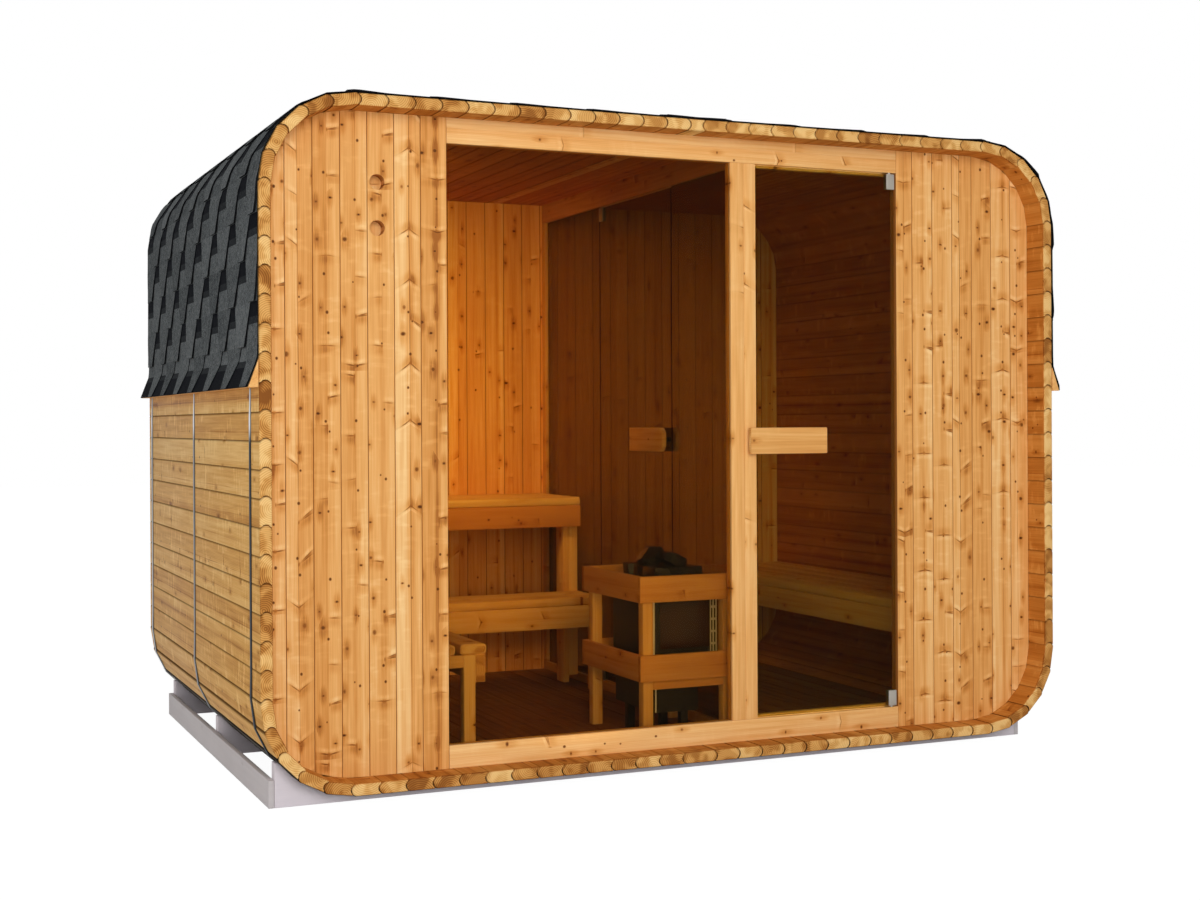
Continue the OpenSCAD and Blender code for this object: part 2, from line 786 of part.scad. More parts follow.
// The side bench's near frame shows its end rail, front board and legs.
module side_bench_frame() {
  z1 = side_z - slat_t - seat_gap;
  z0 = z1 - fascia_h;
  g = seat_gap;
  y0 = room_y0 + 15;
  x1 = bench_x0 + side_d - 6;
  color(wood) {
    slab(x1 - 36, x1, y0, side_y1, z0, z1);
    for (y = [y0, (y0 + side_y1) / 2, side_y1 - leg_w])
      slab(bench_x0, x1 - 36 - leg_w - 2 * g, y, y + board_t, z1 - 44, z1);
    for (y = [y0, side_y1 - leg_w], x = [x1 - 36 - leg_w - g, bench_x0 + 330])
      slab(x, x + leg_w, y, y + leg_w, floor_z + g, x > bench_x0 + 400 ? z1 : z1 - 44 - g);
  }
}

rest_x = inner_x - seat_gap - rest_d;

module rest_bench_slats() {
  color(wood) slats_y(rest_x, rest_d, room_y0 + 15, room_y1 - 15, rest_z, 5);
}

module rest_bench_frame() {
  z1 = rest_z - slat_t - seat_gap;
  z0 = z1 - fascia_h;
  g = seat_gap;
  y0 = room_y0 + 15;
  y1 = room_y1 - 15;
  color(wood) {
    slab(rest_x, rest_x + board_t, y0, y1, z0, z1);
    for (y = [y0, (y0 + y1) / 2 - leg_w / 2, y1 - leg_w])
      slab(rest_x + board_t + g, inner_x - g, y, y + leg_w, z0 + 20, z1);
    slab(inner_x - g - board_t, inner_x - g, y0, y1, z0 + 20 - g - leg_w, z0 + 20 - g);
  }
}

// ---- Heater ----

guard_x1 = part_x - frame_w / 2 - 10;
guard_x0 = guard_x1 - guard_w;
guard_y0 = room_y0 + 25;
guard_y1 = guard_y0 + guard_d;
guard_z1 = floor_z + guard_h;

module guard_ring(z1) {
  t = 20;
  g = seat_gap;
  slab(guard_x0, guard_x1, guard_y0, guard_y0 + t, z1 - guard_board, z1);
  slab(guard_x0, guard_x1, guard_y1 - t, guard_y1, z1 - guard_board, z1);
  slab(guard_x0, guard_x0 + t, guard_y0 + t + g, guard_y1 - t - g, z1 - guard_board, z1);
}

module heater_guard() {
  t = 20;
  g = seat_gap;
  w = 41;
  color(wood) {
    guard_ring(guard_z1);
    guard_ring(guard_z1 - guard_drop);
    for (x = [guard_x0 + t + g, guard_x1 - w], y = [guard_y0 + t + g, guard_y1 - t - g - w])
      slab(x, x + w, y, y + w, floor_z + g, guard_z1 - 12);
    slab(guard_x0 + t + 2 * g + w, guard_x1 - w - g, guard_y0 + t + g, guard_y0 + t + 20,
         guard_z1 - guard_drop - guard_board - 34, guard_z1 - guard_drop - guard_board + 20);
  }
}

heater_x0 = guard_x0 + 85;
heater_y0 = guard_y0 + 75;
heater_z0 = floor_z + heater_foot;
heater_z1 = heater_z0 + heater_h;

// An open-topped steel jacket with bevelled corners, a tray and side slots, over
// a narrower casing that is open below and stands on four feet.
module heater_body() {
  c = 22;
  tray = heater_z1 - 120;
  low = heater_z0 + heater_low;
  low_x0 = heater_x0 + 14;
  low_x1 = heater_x0 + heater_w - 58;
  low_y0 = heater_y0 + 12;
  low_y1 = heater_y0 + heater_d - 12;
  wall = jacket_t + c / 2;
  color([0.25, 0.24, 0.23]) {
    difference() {
      union() {
        translate([heater_x0, heater_y0, low]) linear_extrude(height = heater_z1 - low)
          polygon([[c, 0], [heater_w - c, 0], [heater_w, c], [heater_w, heater_d - c],
                   [heater_w - c, heater_d], [c, heater_d], [0, heater_d - c], [0, c]]);
        slab(low_x0, low_x1, low_y0, low_y1, heater_z0, low + 1);
      }
      slab(heater_x0 + jacket_t, heater_x0 + heater_w - jacket_t, heater_y0 + wall,
           heater_y0 + heater_d - wall, tray, heater_z1 + 1);
      slab(heater_x0 + wall, heater_x0 + heater_w - wall, heater_y0 + jacket_t,
           heater_y0 + heater_d - jacket_t, tray, heater_z1 + 1);
      slab(heater_x0 + wall, heater_x0 + heater_w - wall, heater_y0 + wall,
           heater_y0 + heater_d - wall, low + jacket_t, tray - jacket_t);
      slab(low_x0 + jacket_t, low_x1 - jacket_t, low_y0 + jacket_t, low_y1 - jacket_t,
           heater_z0 - 1, low + jacket_t + 1);
      for (k = [0:3])
        slab(heater_x0 + heater_w - 4, heater_x0 + heater_w + 1, heater_y0 + 60, heater_y0 + heater_d - 60,
             low + 40 + k * 60, low + 80 + k * 60);
    }
    for (x = [low_x0 + jacket_t / 2, low_x1 - 30 - jacket_t / 2], y = [heater_y0 + 90, heater_y0 + heater_d - 120])
      slab(x, x + 30, y, y + 30, floor_z + seat_gap, heater_z0 + 25);
  }
}

// A rough stone with a flat foot at z = 0, cut from three turned blocks.
module stone(w, d, h, seed) {
  intersection() {
    translate([-w / 2, -d / 2, 0]) cube([w, d, h]);
    translate([0, 0, h * 0.42]) rotate([24 + seed * 7 % 19, 31 - seed * 5 % 17, seed * 47])
      cube([w * 1.02, d * 0.98, h * 1.02], center = true);
    translate([0, 0, h * 0.4]) rotate([-29 + seed * 11 % 13, 17 + seed * 3 % 23, 40 + seed * 29])
      cube([w * 0.96, d * 1.04, h * 1.1], center = true);
  }
}

// A block of rock whose top and foot are flat over its middle.
module ledge_stone(w, d, h, seed) {
  intersection() {
    translate([-w / 2, -d / 2, 0]) cube([w, d, h]);
    translate([0, 0, h / 2]) rotate([9 + seed * 5 % 11, 7 - seed * 3 % 13, seed * 31])
      cube([w * 0.98, d * 1.04, h * 1.5], center = true);
  }
}

// A bed of stones in the jacket, a second layer on it and two peaks.
module heater_stones() {
  g = seat_gap;
  tray = heater_z1 - 120 + g;
  bed = 120;
  second = 82;
  peak = 67;
  mid_x = heater_x0 + heater_w / 2;
  px = (heater_w - 2 * jacket_t - 12) / 3;
  py = (heater_d - 2 * jacket_t - 22) / 4;
  color([0.30, 0.30, 0.32]) {
    for (i = [0:2], j = [0:3])
      translate([heater_x0 + jacket_t + 6 + (i + 0.5) * px, heater_y0 + jacket_t + 11 + (j + 0.5) * py, tray])
        ledge_stone(px - 1, py - 1, bed, i * 4 + j);
    for (i = [0:1], j = [0:2])
      translate([mid_x + (i - 0.5) * 106, heater_y0 + heater_d / 2 + (j - 1) * 108, tray + bed + g])
        ledge_stone(105, 107, second, 3 + i * 3 + j);
    for (j = [0:1])
      translate([mid_x - 26 + j * 44, heater_y0 + heater_d / 2 + 30 - j * 104, tray + bed + second + 2 * g])
        stone(112, 100, peak - j * 16, 5 + j * 4);
  }
}

cradles();
runners();
floor_staves();
roof_staves();
left_wall_staves();
right_wall_staves();
lower_corner_staves();
upper_corner_staves();
bands();
shingles_left();
shingles_right();
ridge_cap();
drip_battens();
front_panel_left();
front_panel_right();
head_rail();
sill_rail();
mullion_post();
window_glass();
vent_slider();
back_wall();
door_glass();
door_handle();
door_fittings();
door_pivots();
partition_frame();
partition_panes();
inner_door_glass();
inner_door_handle();
inner_door_fittings();
inner_door_pivots();
upper_bench_slats();
upper_bench_frame();
lower_bench_slats();
lower_bench_frame();
side_bench_slats();
side_bench_frame();
rest_bench_slats();
rest_bench_frame();
heater_guard();
heater_body();
heater_stones();
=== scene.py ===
"""Cube sauna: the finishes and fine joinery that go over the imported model.

Lengths are metres, X to the right along the glazed front, Y towards the back, Z up.
"""

import bmesh
import bpy
import numpy as np
from mathutils import Matrix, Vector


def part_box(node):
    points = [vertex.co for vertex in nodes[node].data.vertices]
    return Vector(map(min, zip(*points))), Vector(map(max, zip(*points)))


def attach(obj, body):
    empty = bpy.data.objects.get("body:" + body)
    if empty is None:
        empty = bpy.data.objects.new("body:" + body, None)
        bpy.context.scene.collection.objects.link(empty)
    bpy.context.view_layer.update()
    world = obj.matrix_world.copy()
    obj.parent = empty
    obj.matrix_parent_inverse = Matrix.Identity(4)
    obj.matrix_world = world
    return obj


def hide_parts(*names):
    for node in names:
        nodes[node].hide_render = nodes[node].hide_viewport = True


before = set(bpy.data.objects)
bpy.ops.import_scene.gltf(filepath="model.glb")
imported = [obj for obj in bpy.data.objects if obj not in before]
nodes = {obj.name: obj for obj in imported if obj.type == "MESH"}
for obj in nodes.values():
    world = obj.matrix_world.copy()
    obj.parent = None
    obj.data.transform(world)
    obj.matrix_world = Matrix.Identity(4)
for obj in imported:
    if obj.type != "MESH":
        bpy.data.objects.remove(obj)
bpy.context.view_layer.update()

# ---- Sizes of the shell, as the joinery is cut ----

PITCH = 0.095  # cover of one stave
THICK = 0.042
BEAD = THICK / 2 + 0.003  # radius of a stave's bead
CLEAR = 0.0004  # gap round a bead, and between the end walls and the shell
SEAT = 0.0003  # gap under the bands, and between them and the felt
BAND_W, BAND_T, CROWN = 0.024, 0.001, 0.004
FLAT, SIDE, CORNER = 27, 18, 5  # staves across the floor or the roof, up a side, and in a corner
BARE = 11  # staves up a side from the corner to the foot of the drip batten
LEFT_POST_W = 0.056  # the left one of the post's two boards
LOW, HIGH = (np.array(c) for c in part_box("floor_staves"))
FRONT, BACK = LOW[1], HIGH[1]
MID_LOW = LOW[2] + THICK / 2
HALF = (FLAT - 1) // 2
TURN = 90 / CORNER
WALL_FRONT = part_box("front_panel_left")[0][1]
WALL_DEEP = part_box("front_panel_left")[1][1]
ROOM_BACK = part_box("back_wall")[0][1]
POST_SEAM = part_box("mullion_post")[0][0] + LEFT_POST_W


def shell_line():
    """Headings of the right half's staves from under the floor to the ridge, and the bead centres,
    each bead being the last one plus a pitch along the stave's heading."""
    corner = TURN * (np.arange(CORNER) + 0.5)
    turn = np.concatenate([np.zeros(HALF), corner, np.full(SIDE, 90.0), 90 + corner,
                           np.full(HALF, 180.0)])
    way = np.stack([np.cos(np.radians(turn)), np.sin(np.radians(turn))], 1)
    start = np.array([[PITCH / 2, MID_LOW]])
    return np.radians(turn), np.vstack([start, start + PITCH * np.cumsum(way, 0)])


HEADS, BEADS = shell_line()
FIRST_LOW = HALF
FIRST_SIDE = FIRST_LOW + CORNER
FIRST_HIGH = FIRST_SIDE + SIDE
FIRST_ROOF = FIRST_HIGH + CORNER
MID_HIGH = BEADS[-1][1]
LEG = BEADS[FIRST_SIDE][1] - MID_LOW
OUTER_X = BEADS[FIRST_SIDE][0] + THICK / 2


def outward(a):
    """The direction away from the room, for a stave heading along a."""
    return np.array([np.sin(a), -np.cos(a)])


def shoulder(k, off):
    """Where the outer faces of the staves on both sides of bead k meet, at a distance off them."""
    a, b = HEADS[k - 1], HEADS[k]
    arm = np.sqrt(BEAD ** 2 - THICK ** 2 / 4)
    return (BEADS[k] + arm * np.array([np.cos(a), np.sin(a)]) + THICK / 2 * outward(a)
            + off / np.cos((b - a) / 2) * outward((a + b) / 2))


def turned(xy, angle):
    """Points turned by an angle about the origin of their plane."""
    c, s = np.cos(angle), np.sin(angle)
    return np.stack([xy[..., 0] * c - xy[..., 1] * s, xy[..., 0] * s + xy[..., 1] * c], -1)


def room_line():
    """The room's outline inside the shell: straight rows joined by corners of equal turns, each
    corner point pushed in along the bisector of its two staves. Gives the height of its middle,
    and the X and the half height along its upper right part."""
    j = np.arange(CORNER + 1)
    edge = (j == 0) | (j == CORNER)
    half_turn = np.radians(np.where(edge, TURN / 4, TURN / 2))
    way = np.radians(np.where(j == 0, TURN / 4, np.where(j == CORNER, 90 - TURN / 4, TURN * j)))
    at = BEADS[FIRST_HIGH:FIRST_ROOF + 1][::-1]
    push = (-THICK / 2 - CLEAR) / np.cos(half_turn)
    middle = (MID_LOW + MID_HIGH) / 2
    return middle, at[:, 0] + push * np.sin(way), at[:, 1] + push * np.cos(way) - middle


ROOM_MIDDLE, ROOM_X, ROOM_RISE = room_line()


# ---- Meshes ----

SMOOTH = 35  # degrees up to which an edge reads as round
SHARP = 30  # degrees past which an edge of a CAD piece is eased
NEAR = 1e-4  # slack in matching a corner to a box


class Stock:
    """Timber gathered into one mesh. Every board brings its own corners, faces, a place in the log
    (along, across and through the board), a random tone, whether a face is an end cut, how deep
    a corner lies in a joint, and its darkening: painted shadow under the shell, painted shade on
    inner faces and level boards, and the floor made darker inside the room."""

    def __init__(self, seed):
        self.dice = np.random.default_rng(seed)
        self.corners, self.places, self.tones, self.joints, self.darkenings = [], [], [], [], []
        self.faces, self.cuts = [], []
        self.count = 0

    def add(self, corners, places, faces, cuts, joint=0.0, coat=0.0):
        """Adds a board, with a random tone of its own."""
        self.corners.append(corners)
        self.places.append(places)
        self.tones.append(np.broadcast_to(self.dice.random(3), corners.shape))
        self.joints.append(np.broadcast_to(joint, len(corners)))
        self.darkenings.append(np.broadcast_to(coat, corners.shape))
        self.faces += [tuple(int(i) + self.count for i in f) for f in faces]
        self.cuts += list(cuts)
        self.count += len(corners)

    def piece(self, name):
        """All the boards as one object."""
        mesh = bpy.data.meshes.new(name)
        mesh.from_pydata(np.vstack(self.corners), [], self.faces)
        vector(mesh, "place", np.vstack(self.places))
        vector(mesh, "tone", np.vstack(self.tones))
        number(mesh, "cut", "FACE", self.cuts)
        number(mesh, "joint", "POINT", np.concatenate(self.joints))
        vector(mesh, "coat", np.vstack(self.darkenings))
        return link(name, mesh)


def vector(mesh, name, values):
    """One vector per corner point of the mesh, written as a whole array."""
    store = mesh.attributes.new(name, "FLOAT_VECTOR", "POINT")
    store.data.foreach_set("vector", np.asarray(values, np.float32).ravel())


def number(mesh, name, domain, values=None):
    """One number per face or corner point, nought where no values are given."""
    store = mesh.attributes.new(name, "FLOAT", domain)
    if values is not None:
        store.data.foreach_set("value", np.asarray(values, np.float32))


def corners_of(mesh, kind=float):
    """The mesh's corner points, as rows of X, Y and Z."""
    co = np.empty(len(mesh.vertices) * 3, kind)
    mesh.vertices.foreach_get("co", co)
    return co.reshape(-1, 3)


def smoothed(mesh, degrees=SMOOTH):
    """Shades a mesh smooth across edges that turn by less than so many degrees."""
    mesh.shade_smooth()
    mesh.set_sharp_from_angle(angle=np.radians(degrees))


def link(name, mesh, smooth=SMOOTH):
    """A mesh as a piece in the scene."""
    mesh.validate()
    mesh.update()
    if smooth:
        smoothed(mesh, smooth)
    made = bpy.data.objects.new(name, mesh)
    bpy.context.scene.collection.objects.link(made)
    return made


def prism_faces(ring, rows):
    """Quads between neighbouring rings of a tube, and one flat face on each end."""
    i = np.arange(ring)
    nxt = (i + 1) % ring
    quads = [np.stack([r * ring + i, r * ring + nxt, (r + 1) * ring + nxt, (r + 1) * ring + i], 1)
             for r in range(rows - 1)]
    quads = np.vstack(quads)
    first = tuple(i[::-1])
    last = tuple((rows - 1) * ring + i)
    return [tuple(q) for q in quads] + [first, last], [0.0] * len(quads) + [1.0, 1.0]


def rounded_ring(half_w, half_t, r, steps=3):
    """A rectangle's outline with quarter-circle corners of radius r, anticlockwise."""
    t = np.linspace(0, np.pi / 2, steps)
    quarter = np.stack([np.cos(t), np.sin(t)], 1) * r
    centres = np.array([[half_w - r, half_t - r], [-(half_w - r), half_t - r],
                        [-(half_w - r), -(half_t - r)], [half_w - r, -(half_t - r)]])
    return np.vstack([turned(quarter, k * np.pi / 2) + centres[k] for k in range(4)])


def board(stock, lo, hi, r, painted_shade=0.0):
    """A planed board in the box lo to hi: the rounded outline carried along its longest side, drawn
    in at both ends. Its last argument is how far its colour is darkened as painted shade."""
    lo, hi = np.asarray(lo, float), np.asarray(hi, float)
    size = hi - lo
    k = int(np.argmax(size))
    rest = [a for a in range(3) if a != k]
    wide, thin = (rest if size[rest[0]] >= size[rest[1]] else rest[::-1])
    r = min(r, size[wide] * 0.3, size[thin] * 0.3)
    ring = rounded_ring(size[wide] / 2, size[thin] / 2, r)
    m = len(ring)
    lean = 0.55 * r
    at = np.array([0, lean, size[k] - lean, size[k]])
    pull = np.array([1, 0, 0, 1])[:, None]
    inner = 1 - lean / np.array([size[wide] / 2, size[thin] / 2])
    flat = ring[None] * np.where(pull[..., None], inner, 1.0)
    out = np.empty((4, m, 3))
    out[..., k] = lo[k] + at[:, None]
    out[..., wide] = (lo[wide] + hi[wide]) / 2 + flat[..., 0]
    out[..., thin] = (lo[thin] + hi[thin]) / 2 + flat[..., 1]
    place = np.empty_like(out)
    place[..., 0] = at[:, None] - size[k] / 2
    place[..., 1] = flat[..., 0]
    place[..., 2] = flat[..., 1]
    faces, cuts = prism_faces(m, 4)
    axes = np.zeros((3, 3))
    axes[0, wide] = axes[1, thin] = axes[2, k] = 1
    if np.linalg.det(axes) > 0:
        faces = [f[::-1] for f in faces]
    stock.add(out.reshape(-1, 3), place.reshape(-1, 3), faces, cuts, coat=(0, painted_shade, 0))


def boxes_of(node):
    """Lowest and highest corners of every separate solid of a node: corners that touch share the
    lowest label until no label changes."""
    mesh = nodes[node].data
    co = corners_of(mesh, np.float32)
    tri = np.empty(len(mesh.polygons) * 3, np.int32)
    mesh.polygons.foreach_get("vertices", tri)
    _, same = np.unique(np.round(co * 2e5).astype(np.int64), axis=0, return_inverse=True)
    tri = same.ravel()[tri.reshape(-1, 3)]
    label = np.arange(same.max() + 1)
    while True:
        low = label[tri].min(1)
        new = label.copy()
        np.minimum.at(new, tri.ravel(), np.repeat(low, 3))
        new = new[new]
        if (new == label).all():
            break
        label = new
    mine = label[same.ravel()]
    return [(co[mine == k].min(0), co[mine == k].max(0)) for k in np.unique(mine)]


def recut(name, node, soft, seed=None, parted=None):
    """A copy of a node with its triangles merged into flat faces and its sharp edges eased. Where
    a seed makes it timber, each solid's place is measured from the middle of its own box. parted
    is the X at which it is two boards edge to edge."""
    work = bmesh.new()
    work.from_mesh(nodes[node].data)
    bmesh.ops.remove_doubles(work, verts=work.verts, dist=1e-5)
    bmesh.ops.dissolve_limit(work, angle_limit=np.radians(1), verts=work.verts, edges=work.edges)
    if parted:
        whole = [*work.verts, *work.edges, *work.faces]
        cut = bmesh.ops.bisect_plane(work, geom=whole, plane_co=(parted, 0, 0), plane_no=(1, 0, 0))
        seam = [e for e in cut["geom_cut"] if isinstance(e, bmesh.types.BMEdge)]
        rims = bmesh.ops.split_edges(work, edges=seam)["edges"]
        bmesh.ops.holes_fill(work, edges=rims)
    sharp = [e for e in work.edges if len(e.link_faces) == 2 and e.calc_face_angle(0) > np.radians(SHARP)]
    bmesh.ops.bevel(work, geom=sharp, offset=soft, segments=2, profile=0.5, affect="EDGES",
                    clamp_overlap=True)
    mesh = bpy.data.meshes.new(name)
    work.to_mesh(mesh)
    work.free()
    if seed is not None:
        dice = np.random.default_rng(seed)
        co = corners_of(mesh)
        place, tone = np.zeros_like(co), np.zeros_like(co)
        for lo, hi in boxes_of(node):
            own = ((co > lo - NEAR) & (co < hi + NEAR)).all(1)
            order = np.argsort(-(hi - lo))
            place[own] = (co[own] - (lo + hi) / 2)[:, order]
            tone[own] = dice.random(3)
            if parted:
                tone[own & (co[:, 0] > parted + NEAR)] = dice.random(3)
        vector(mesh, "place", place)
        vector(mesh, "tone", tone)
        number(mesh, "cut", "FACE")
        number(mesh, "joint", "POINT")
    return link(name, mesh)


def finish_with(piece, material):
    """Gives a piece its only material."""
    piece.data.materials.clear()
    piece.data.materials.append(material)


def fit(made, material, stands_for=None, body="house"):
    """Gives a piece its finish and its body, and hides the node that it stands for."""
    finish_with(made, material)
    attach(made, body)
    if stands_for:
        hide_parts(stands_for)


# ---- Materials ----

class Num:
    """A number in a material. Its arithmetic adds Math nodes."""

    def __init__(self, shade, socket):
        self.shade, self.socket = shade, socket

    def __add__(self, other):
        return self.shade.math("ADD", self, other)

    def __sub__(self, other):
        return self.shade.math("SUBTRACT", self, other)

    def __rsub__(self, other):
        return self.shade.math("SUBTRACT", other, self)

    def __mul__(self, other):
        return self.shade.math("MULTIPLY", self, other)

    def __truediv__(self, other):
        return self.shade.math("DIVIDE", self, other)

    def __rtruediv__(self, other):
        return self.shade.math("DIVIDE", other, self)

    def __gt__(self, other):
        return self.shade.math("GREATER_THAN", self, other)

    def __lt__(self, other):
        return self.shade.math("LESS_THAN", self, other)

    def __abs__(self):
        return self.shade.math("ABSOLUTE", self)

    __radd__ = __add__
    __rmul__ = __mul__


def linear(r, g, b):
    """A colour given in display values of 0 to 255, as the light that it stands for."""
    c = np.array([r, g, b]) / 255
    return (*np.where(c <= 0.04045, c / 12.92, ((c + 0.055) / 1.055) ** 2.4), 1.0)


class Shade:
    """The node tree of one material, or of the world."""

    def __init__(self, name, world=False):
        self.material = (bpy.data.worlds if world else bpy.data.materials).new(name)
        self.material.use_nodes = True
        self.tree = self.material.node_tree
        self.tree.nodes.clear()

    def node(self, kind, sockets=None, stops=None, **settings):
        """A node of any type: its settings, its ramp's stops, then what its sockets are or take."""
        made = self.tree.nodes.new(kind)
        for key, value in settings.items():
            setattr(made, key, value)
        if stops:
            ramp = made.color_ramp
            while len(ramp.elements) < len(stops):
                ramp.elements.new(0.5)
            for element, (at, colour) in zip(ramp.elements, stops):
                element.position, element.color = at, colour
        for key, value in (sockets or {}).items():
            socket = made.inputs[key]
            value = value.socket if isinstance(value, Num) else value
            if isinstance(value, bpy.types.NodeSocket):
                self.tree.links.new(value, socket)
            else:
                socket.default_value = value
        return made

    def math(self, op, a, b=None, clamp=False):
        sockets = {0: a} if b is None else {0: a, 1: b}
        return Num(self, self.node("ShaderNodeMath", sockets, operation=op, use_clamp=clamp).outputs[0])

    def most(self, first, *others):
        """The strongest of several masks."""
        for other in others:
            first = self.math("MAXIMUM", first, other)
        return first

    def looked_at(self):
        """One for what is seen, mirrored or seen through glass, and nought for light on the object."""
        path = self.node("ShaderNodeLightPath").outputs
        return self.most(*(path[f"Is {kind} Ray"] for kind in ("Camera", "Glossy", "Transmission")))

    def split(self, vec):
        out = self.node("ShaderNodeSeparateXYZ", {0: vec}).outputs
        return [Num(self, out[k]) for k in range(3)]

    def join(self, x=0.0, y=0.0, z=0.0):
        return self.node("ShaderNodeCombineXYZ", {0: x, 1: y, 2: z}).outputs[0]

    def attribute(self, name):
        return self.node("ShaderNodeAttribute", attribute_name=name).outputs["Vector"]

    def value(self, name):
        return Num(self, self.node("ShaderNodeAttribute", attribute_name=name).outputs["Fac"])

    def place(self):
        return self.node("ShaderNodeTexCoord").outputs["Object"]

    def rise(self, x, low, high, a=0.0, b=1.0):
        """A smooth step of x from a at low to b at high."""
        return Num(self, self.node("ShaderNodeMapRange", {0: x, 1: low, 2: high, 3: a, 4: b},
                                   interpolation_type="SMOOTHSTEP").outputs[0])

    def hump(self, x, wide):
        """One at x = 0, falling smoothly to nothing at x = wide to either side."""
        return self.rise(abs(x), 0.0, wide, 1.0, 0.0)

    def noise(self, vec, scale=1.0, detail=2.0, rough=0.5, twist=0.0):
        out = self.node("ShaderNodeTexNoise", {"Vector": vec, "Scale": scale, "Detail": detail,
                                               "Roughness": rough, "Distortion": twist})
        return Num(self, out.outputs["Fac"])

    def cells(self, at, dims="2D"):
        """Scattered points: their place, a random colour each, and how far the nearest is."""
        sockets = {"Scale": 1.0, "Randomness": 1.0, "W" if dims == "1D" else "Vector": at}
        return self.node("ShaderNodeTexVoronoi", sockets, voronoi_dimensions=dims).outputs

    def mix(self, share, a, b, how="MIX"):
        return self.node("ShaderNodeMix", {0: share, 6: a, 7: b}, data_type="RGBA", blend_type=how).outputs[2]

    def ramp(self, share, stops):
        return self.node("ShaderNodeValToRGB", {0: share}, stops=stops).outputs[0]

    def bump(self, height, depth, strength):
        sockets = {"Height": height, "Distance": depth, "Strength": strength}
        return self.node("ShaderNodeBump", sockets).outputs[0]

    def surface(self, **sockets):
        """The finished surface. Its sockets are named as on the shader, with _ for a space."""
        shader = self.node("ShaderNodeBsdfPrincipled", {k.replace("_", " "): v for k, v in sockets.items()})
        self.node("ShaderNodeOutputMaterial", {0: shader.outputs[0]})
        return self.material


def tones(at, *colours):
    """A ramp's stops, from their places and their display colours."""
    return [(place, linear(*colour)) for place, colour in zip(at, colours)]


def spike_knots(s, u, v, away, side, knots, seed, r1, r3):
    """Spike knots that leave the heart in pairs like a bird's wings: on one board they all lean
    the same way, in whorls along its heart. Gives the knots, the silky wood above them, the
    shaded wood below, and the blots where they meet."""
    lean = (r1 > 0.4) * 2.0 - 1.0
    step = 0.150
    sweep = lean * (away * (0.05 + r3 * r3 * r3 * 0.80) - away * away * (3.0 * r3))
    line = (u - sweep) / step + seed
    whorl = s.cells(line, "1D")
    du = (line - Num(s, whorl["W"])) * step
    c1, c2, c3 = s.split(whorl["Color"])
    pick = c1 * side + c2 * (1.0 - side)
    there = (pick < 0.42 * knots) * (0.45 + c3 * 0.55)
    ragged = s.noise(s.join(u * 30.0, v * 30.0, seed), detail=1.0)
    du = du - lean * away * (c3 - 0.45) * 0.42 + (ragged - 0.5) * 0.004
    half = 0.0010 + away * (0.015 + c2 * c2 * 0.13)
    far = abs(du) - half
    reach = s.hump(away - (0.004 + c2 * 0.030), 0.028)
    spike = s.rise(far, -0.0012, 0.0022, 0.55, 0.0) + s.hump(far, 0.0018) * 0.45
    spike = spike * there * (0.15 + reach * 0.85)
    above = du * lean
    glow = s.hump(above - 0.009 - half, 0.013 + c1 * 0.010) * there * (0.25 + reach * 0.6)
    gloom = s.hump(above + 0.011 + half, 0.030) * there * (0.3 + reach * 0.7)
    blot = s.hump(du, 0.011) * s.hump(away, 0.010) * there * (c3 > 0.35)
    return spike, glow, gloom, blot


def round_knots(s, u, v, d, knots, seed, r3):
    """Round knots anywhere on the face. Gives the knots, their rims and the halos round them."""
    long, wide = 0.15, 0.048
    spot = s.cells(s.join(u / long + seed, d / wide + r3 * 7.0))
    su, sv, _ = s.split(spot["Position"])
    k1, k2, k3 = s.split(spot["Color"])
    gu = (u / long + seed - su) * long
    gv = (d / wide + r3 * 7.0 - sv) * wide
    out = s.math("SQRT", gu * gu * (0.7 + k3 * 1.3) + gv * gv * (1.3 - k3 * 0.7))
    out = out + (s.noise(s.join(u * 90.0, v * 90.0, seed), detail=1.0) - 0.5) * 0.0030
    size = 0.0024 + k1 * k1 * 0.0046
    real = k2 < 0.42 * knots
    knot = s.rise(out - size, -0.0012, 0.0012, 1.0, 0.0) * real
    rim = s.hump(out - size - 0.0012, 0.0030) * real
    eye = s.math("SQRT", gu * gu * 0.16 + gv * gv)
    halo = s.rise(eye, size, size * 1.6 + 0.013, 1.0, 0.0) * real
    return knot * (0.60 + k3 * 0.4), rim, halo


def pin_knots(s, u, d, knots, seed):
    """Pin knots strung along the heart."""
    step = 0.085
    pin = s.cells(u / step + seed * 2.0, "1D")
    p1, p2, p3 = s.split(pin["Color"])
    qu = (u / step + seed * 2.0 - Num(s, pin["W"])) * step
    qv = d - (p1 - 0.5) * 0.022
    off = s.math("SQRT", qu * qu * 0.7 + qv * qv)
    return s.rise(off, 0.0012 + p2 * 0.0018, 0.0042 + p2 * 0.0032, 1.0, 0.0) * (p3 < 0.36 * knots)


def growth(s, distance, step, start, full, drop):
    """Late wood: each ring darkens from start to full of its width, and drops off after drop."""
    late = s.math("FRACT", distance / step)
    return s.rise(late, start, full) * s.rise(late, drop, 1.0, 1.0, 0.0)


def end_cut(s, v, w, seed, r1, r2, r3):
    """Depth of colour of an end cut: rings round a heart that lies beside it, and a wedge."""
    hv = v - (r1 - 0.5) * 0.06
    hw = w - 0.05 + r2 * 0.10
    ragged = s.noise(s.join(v * 30, w * 30, seed), detail=2.0)
    core = s.math("SQRT", hv * hv + hw * hw) + (ragged - 0.5) * 0.006
    patch = s.noise(s.join(v * 22.0 + seed, w * 22.0, r3 * 9.0), detail=1.0)
    wedge = s.rise(hv + hw * (r3 - 0.5) * 3.0, -0.004, 0.004)
    late = growth(s, core, 0.0068, 0.3, 0.9, 0.93)
    return r3 * 0.50 + s.rise(patch, 0.40, 0.62) * 0.34 + wedge * (r2 - 0.4) * 0.5 + late * 0.34 - 0.08


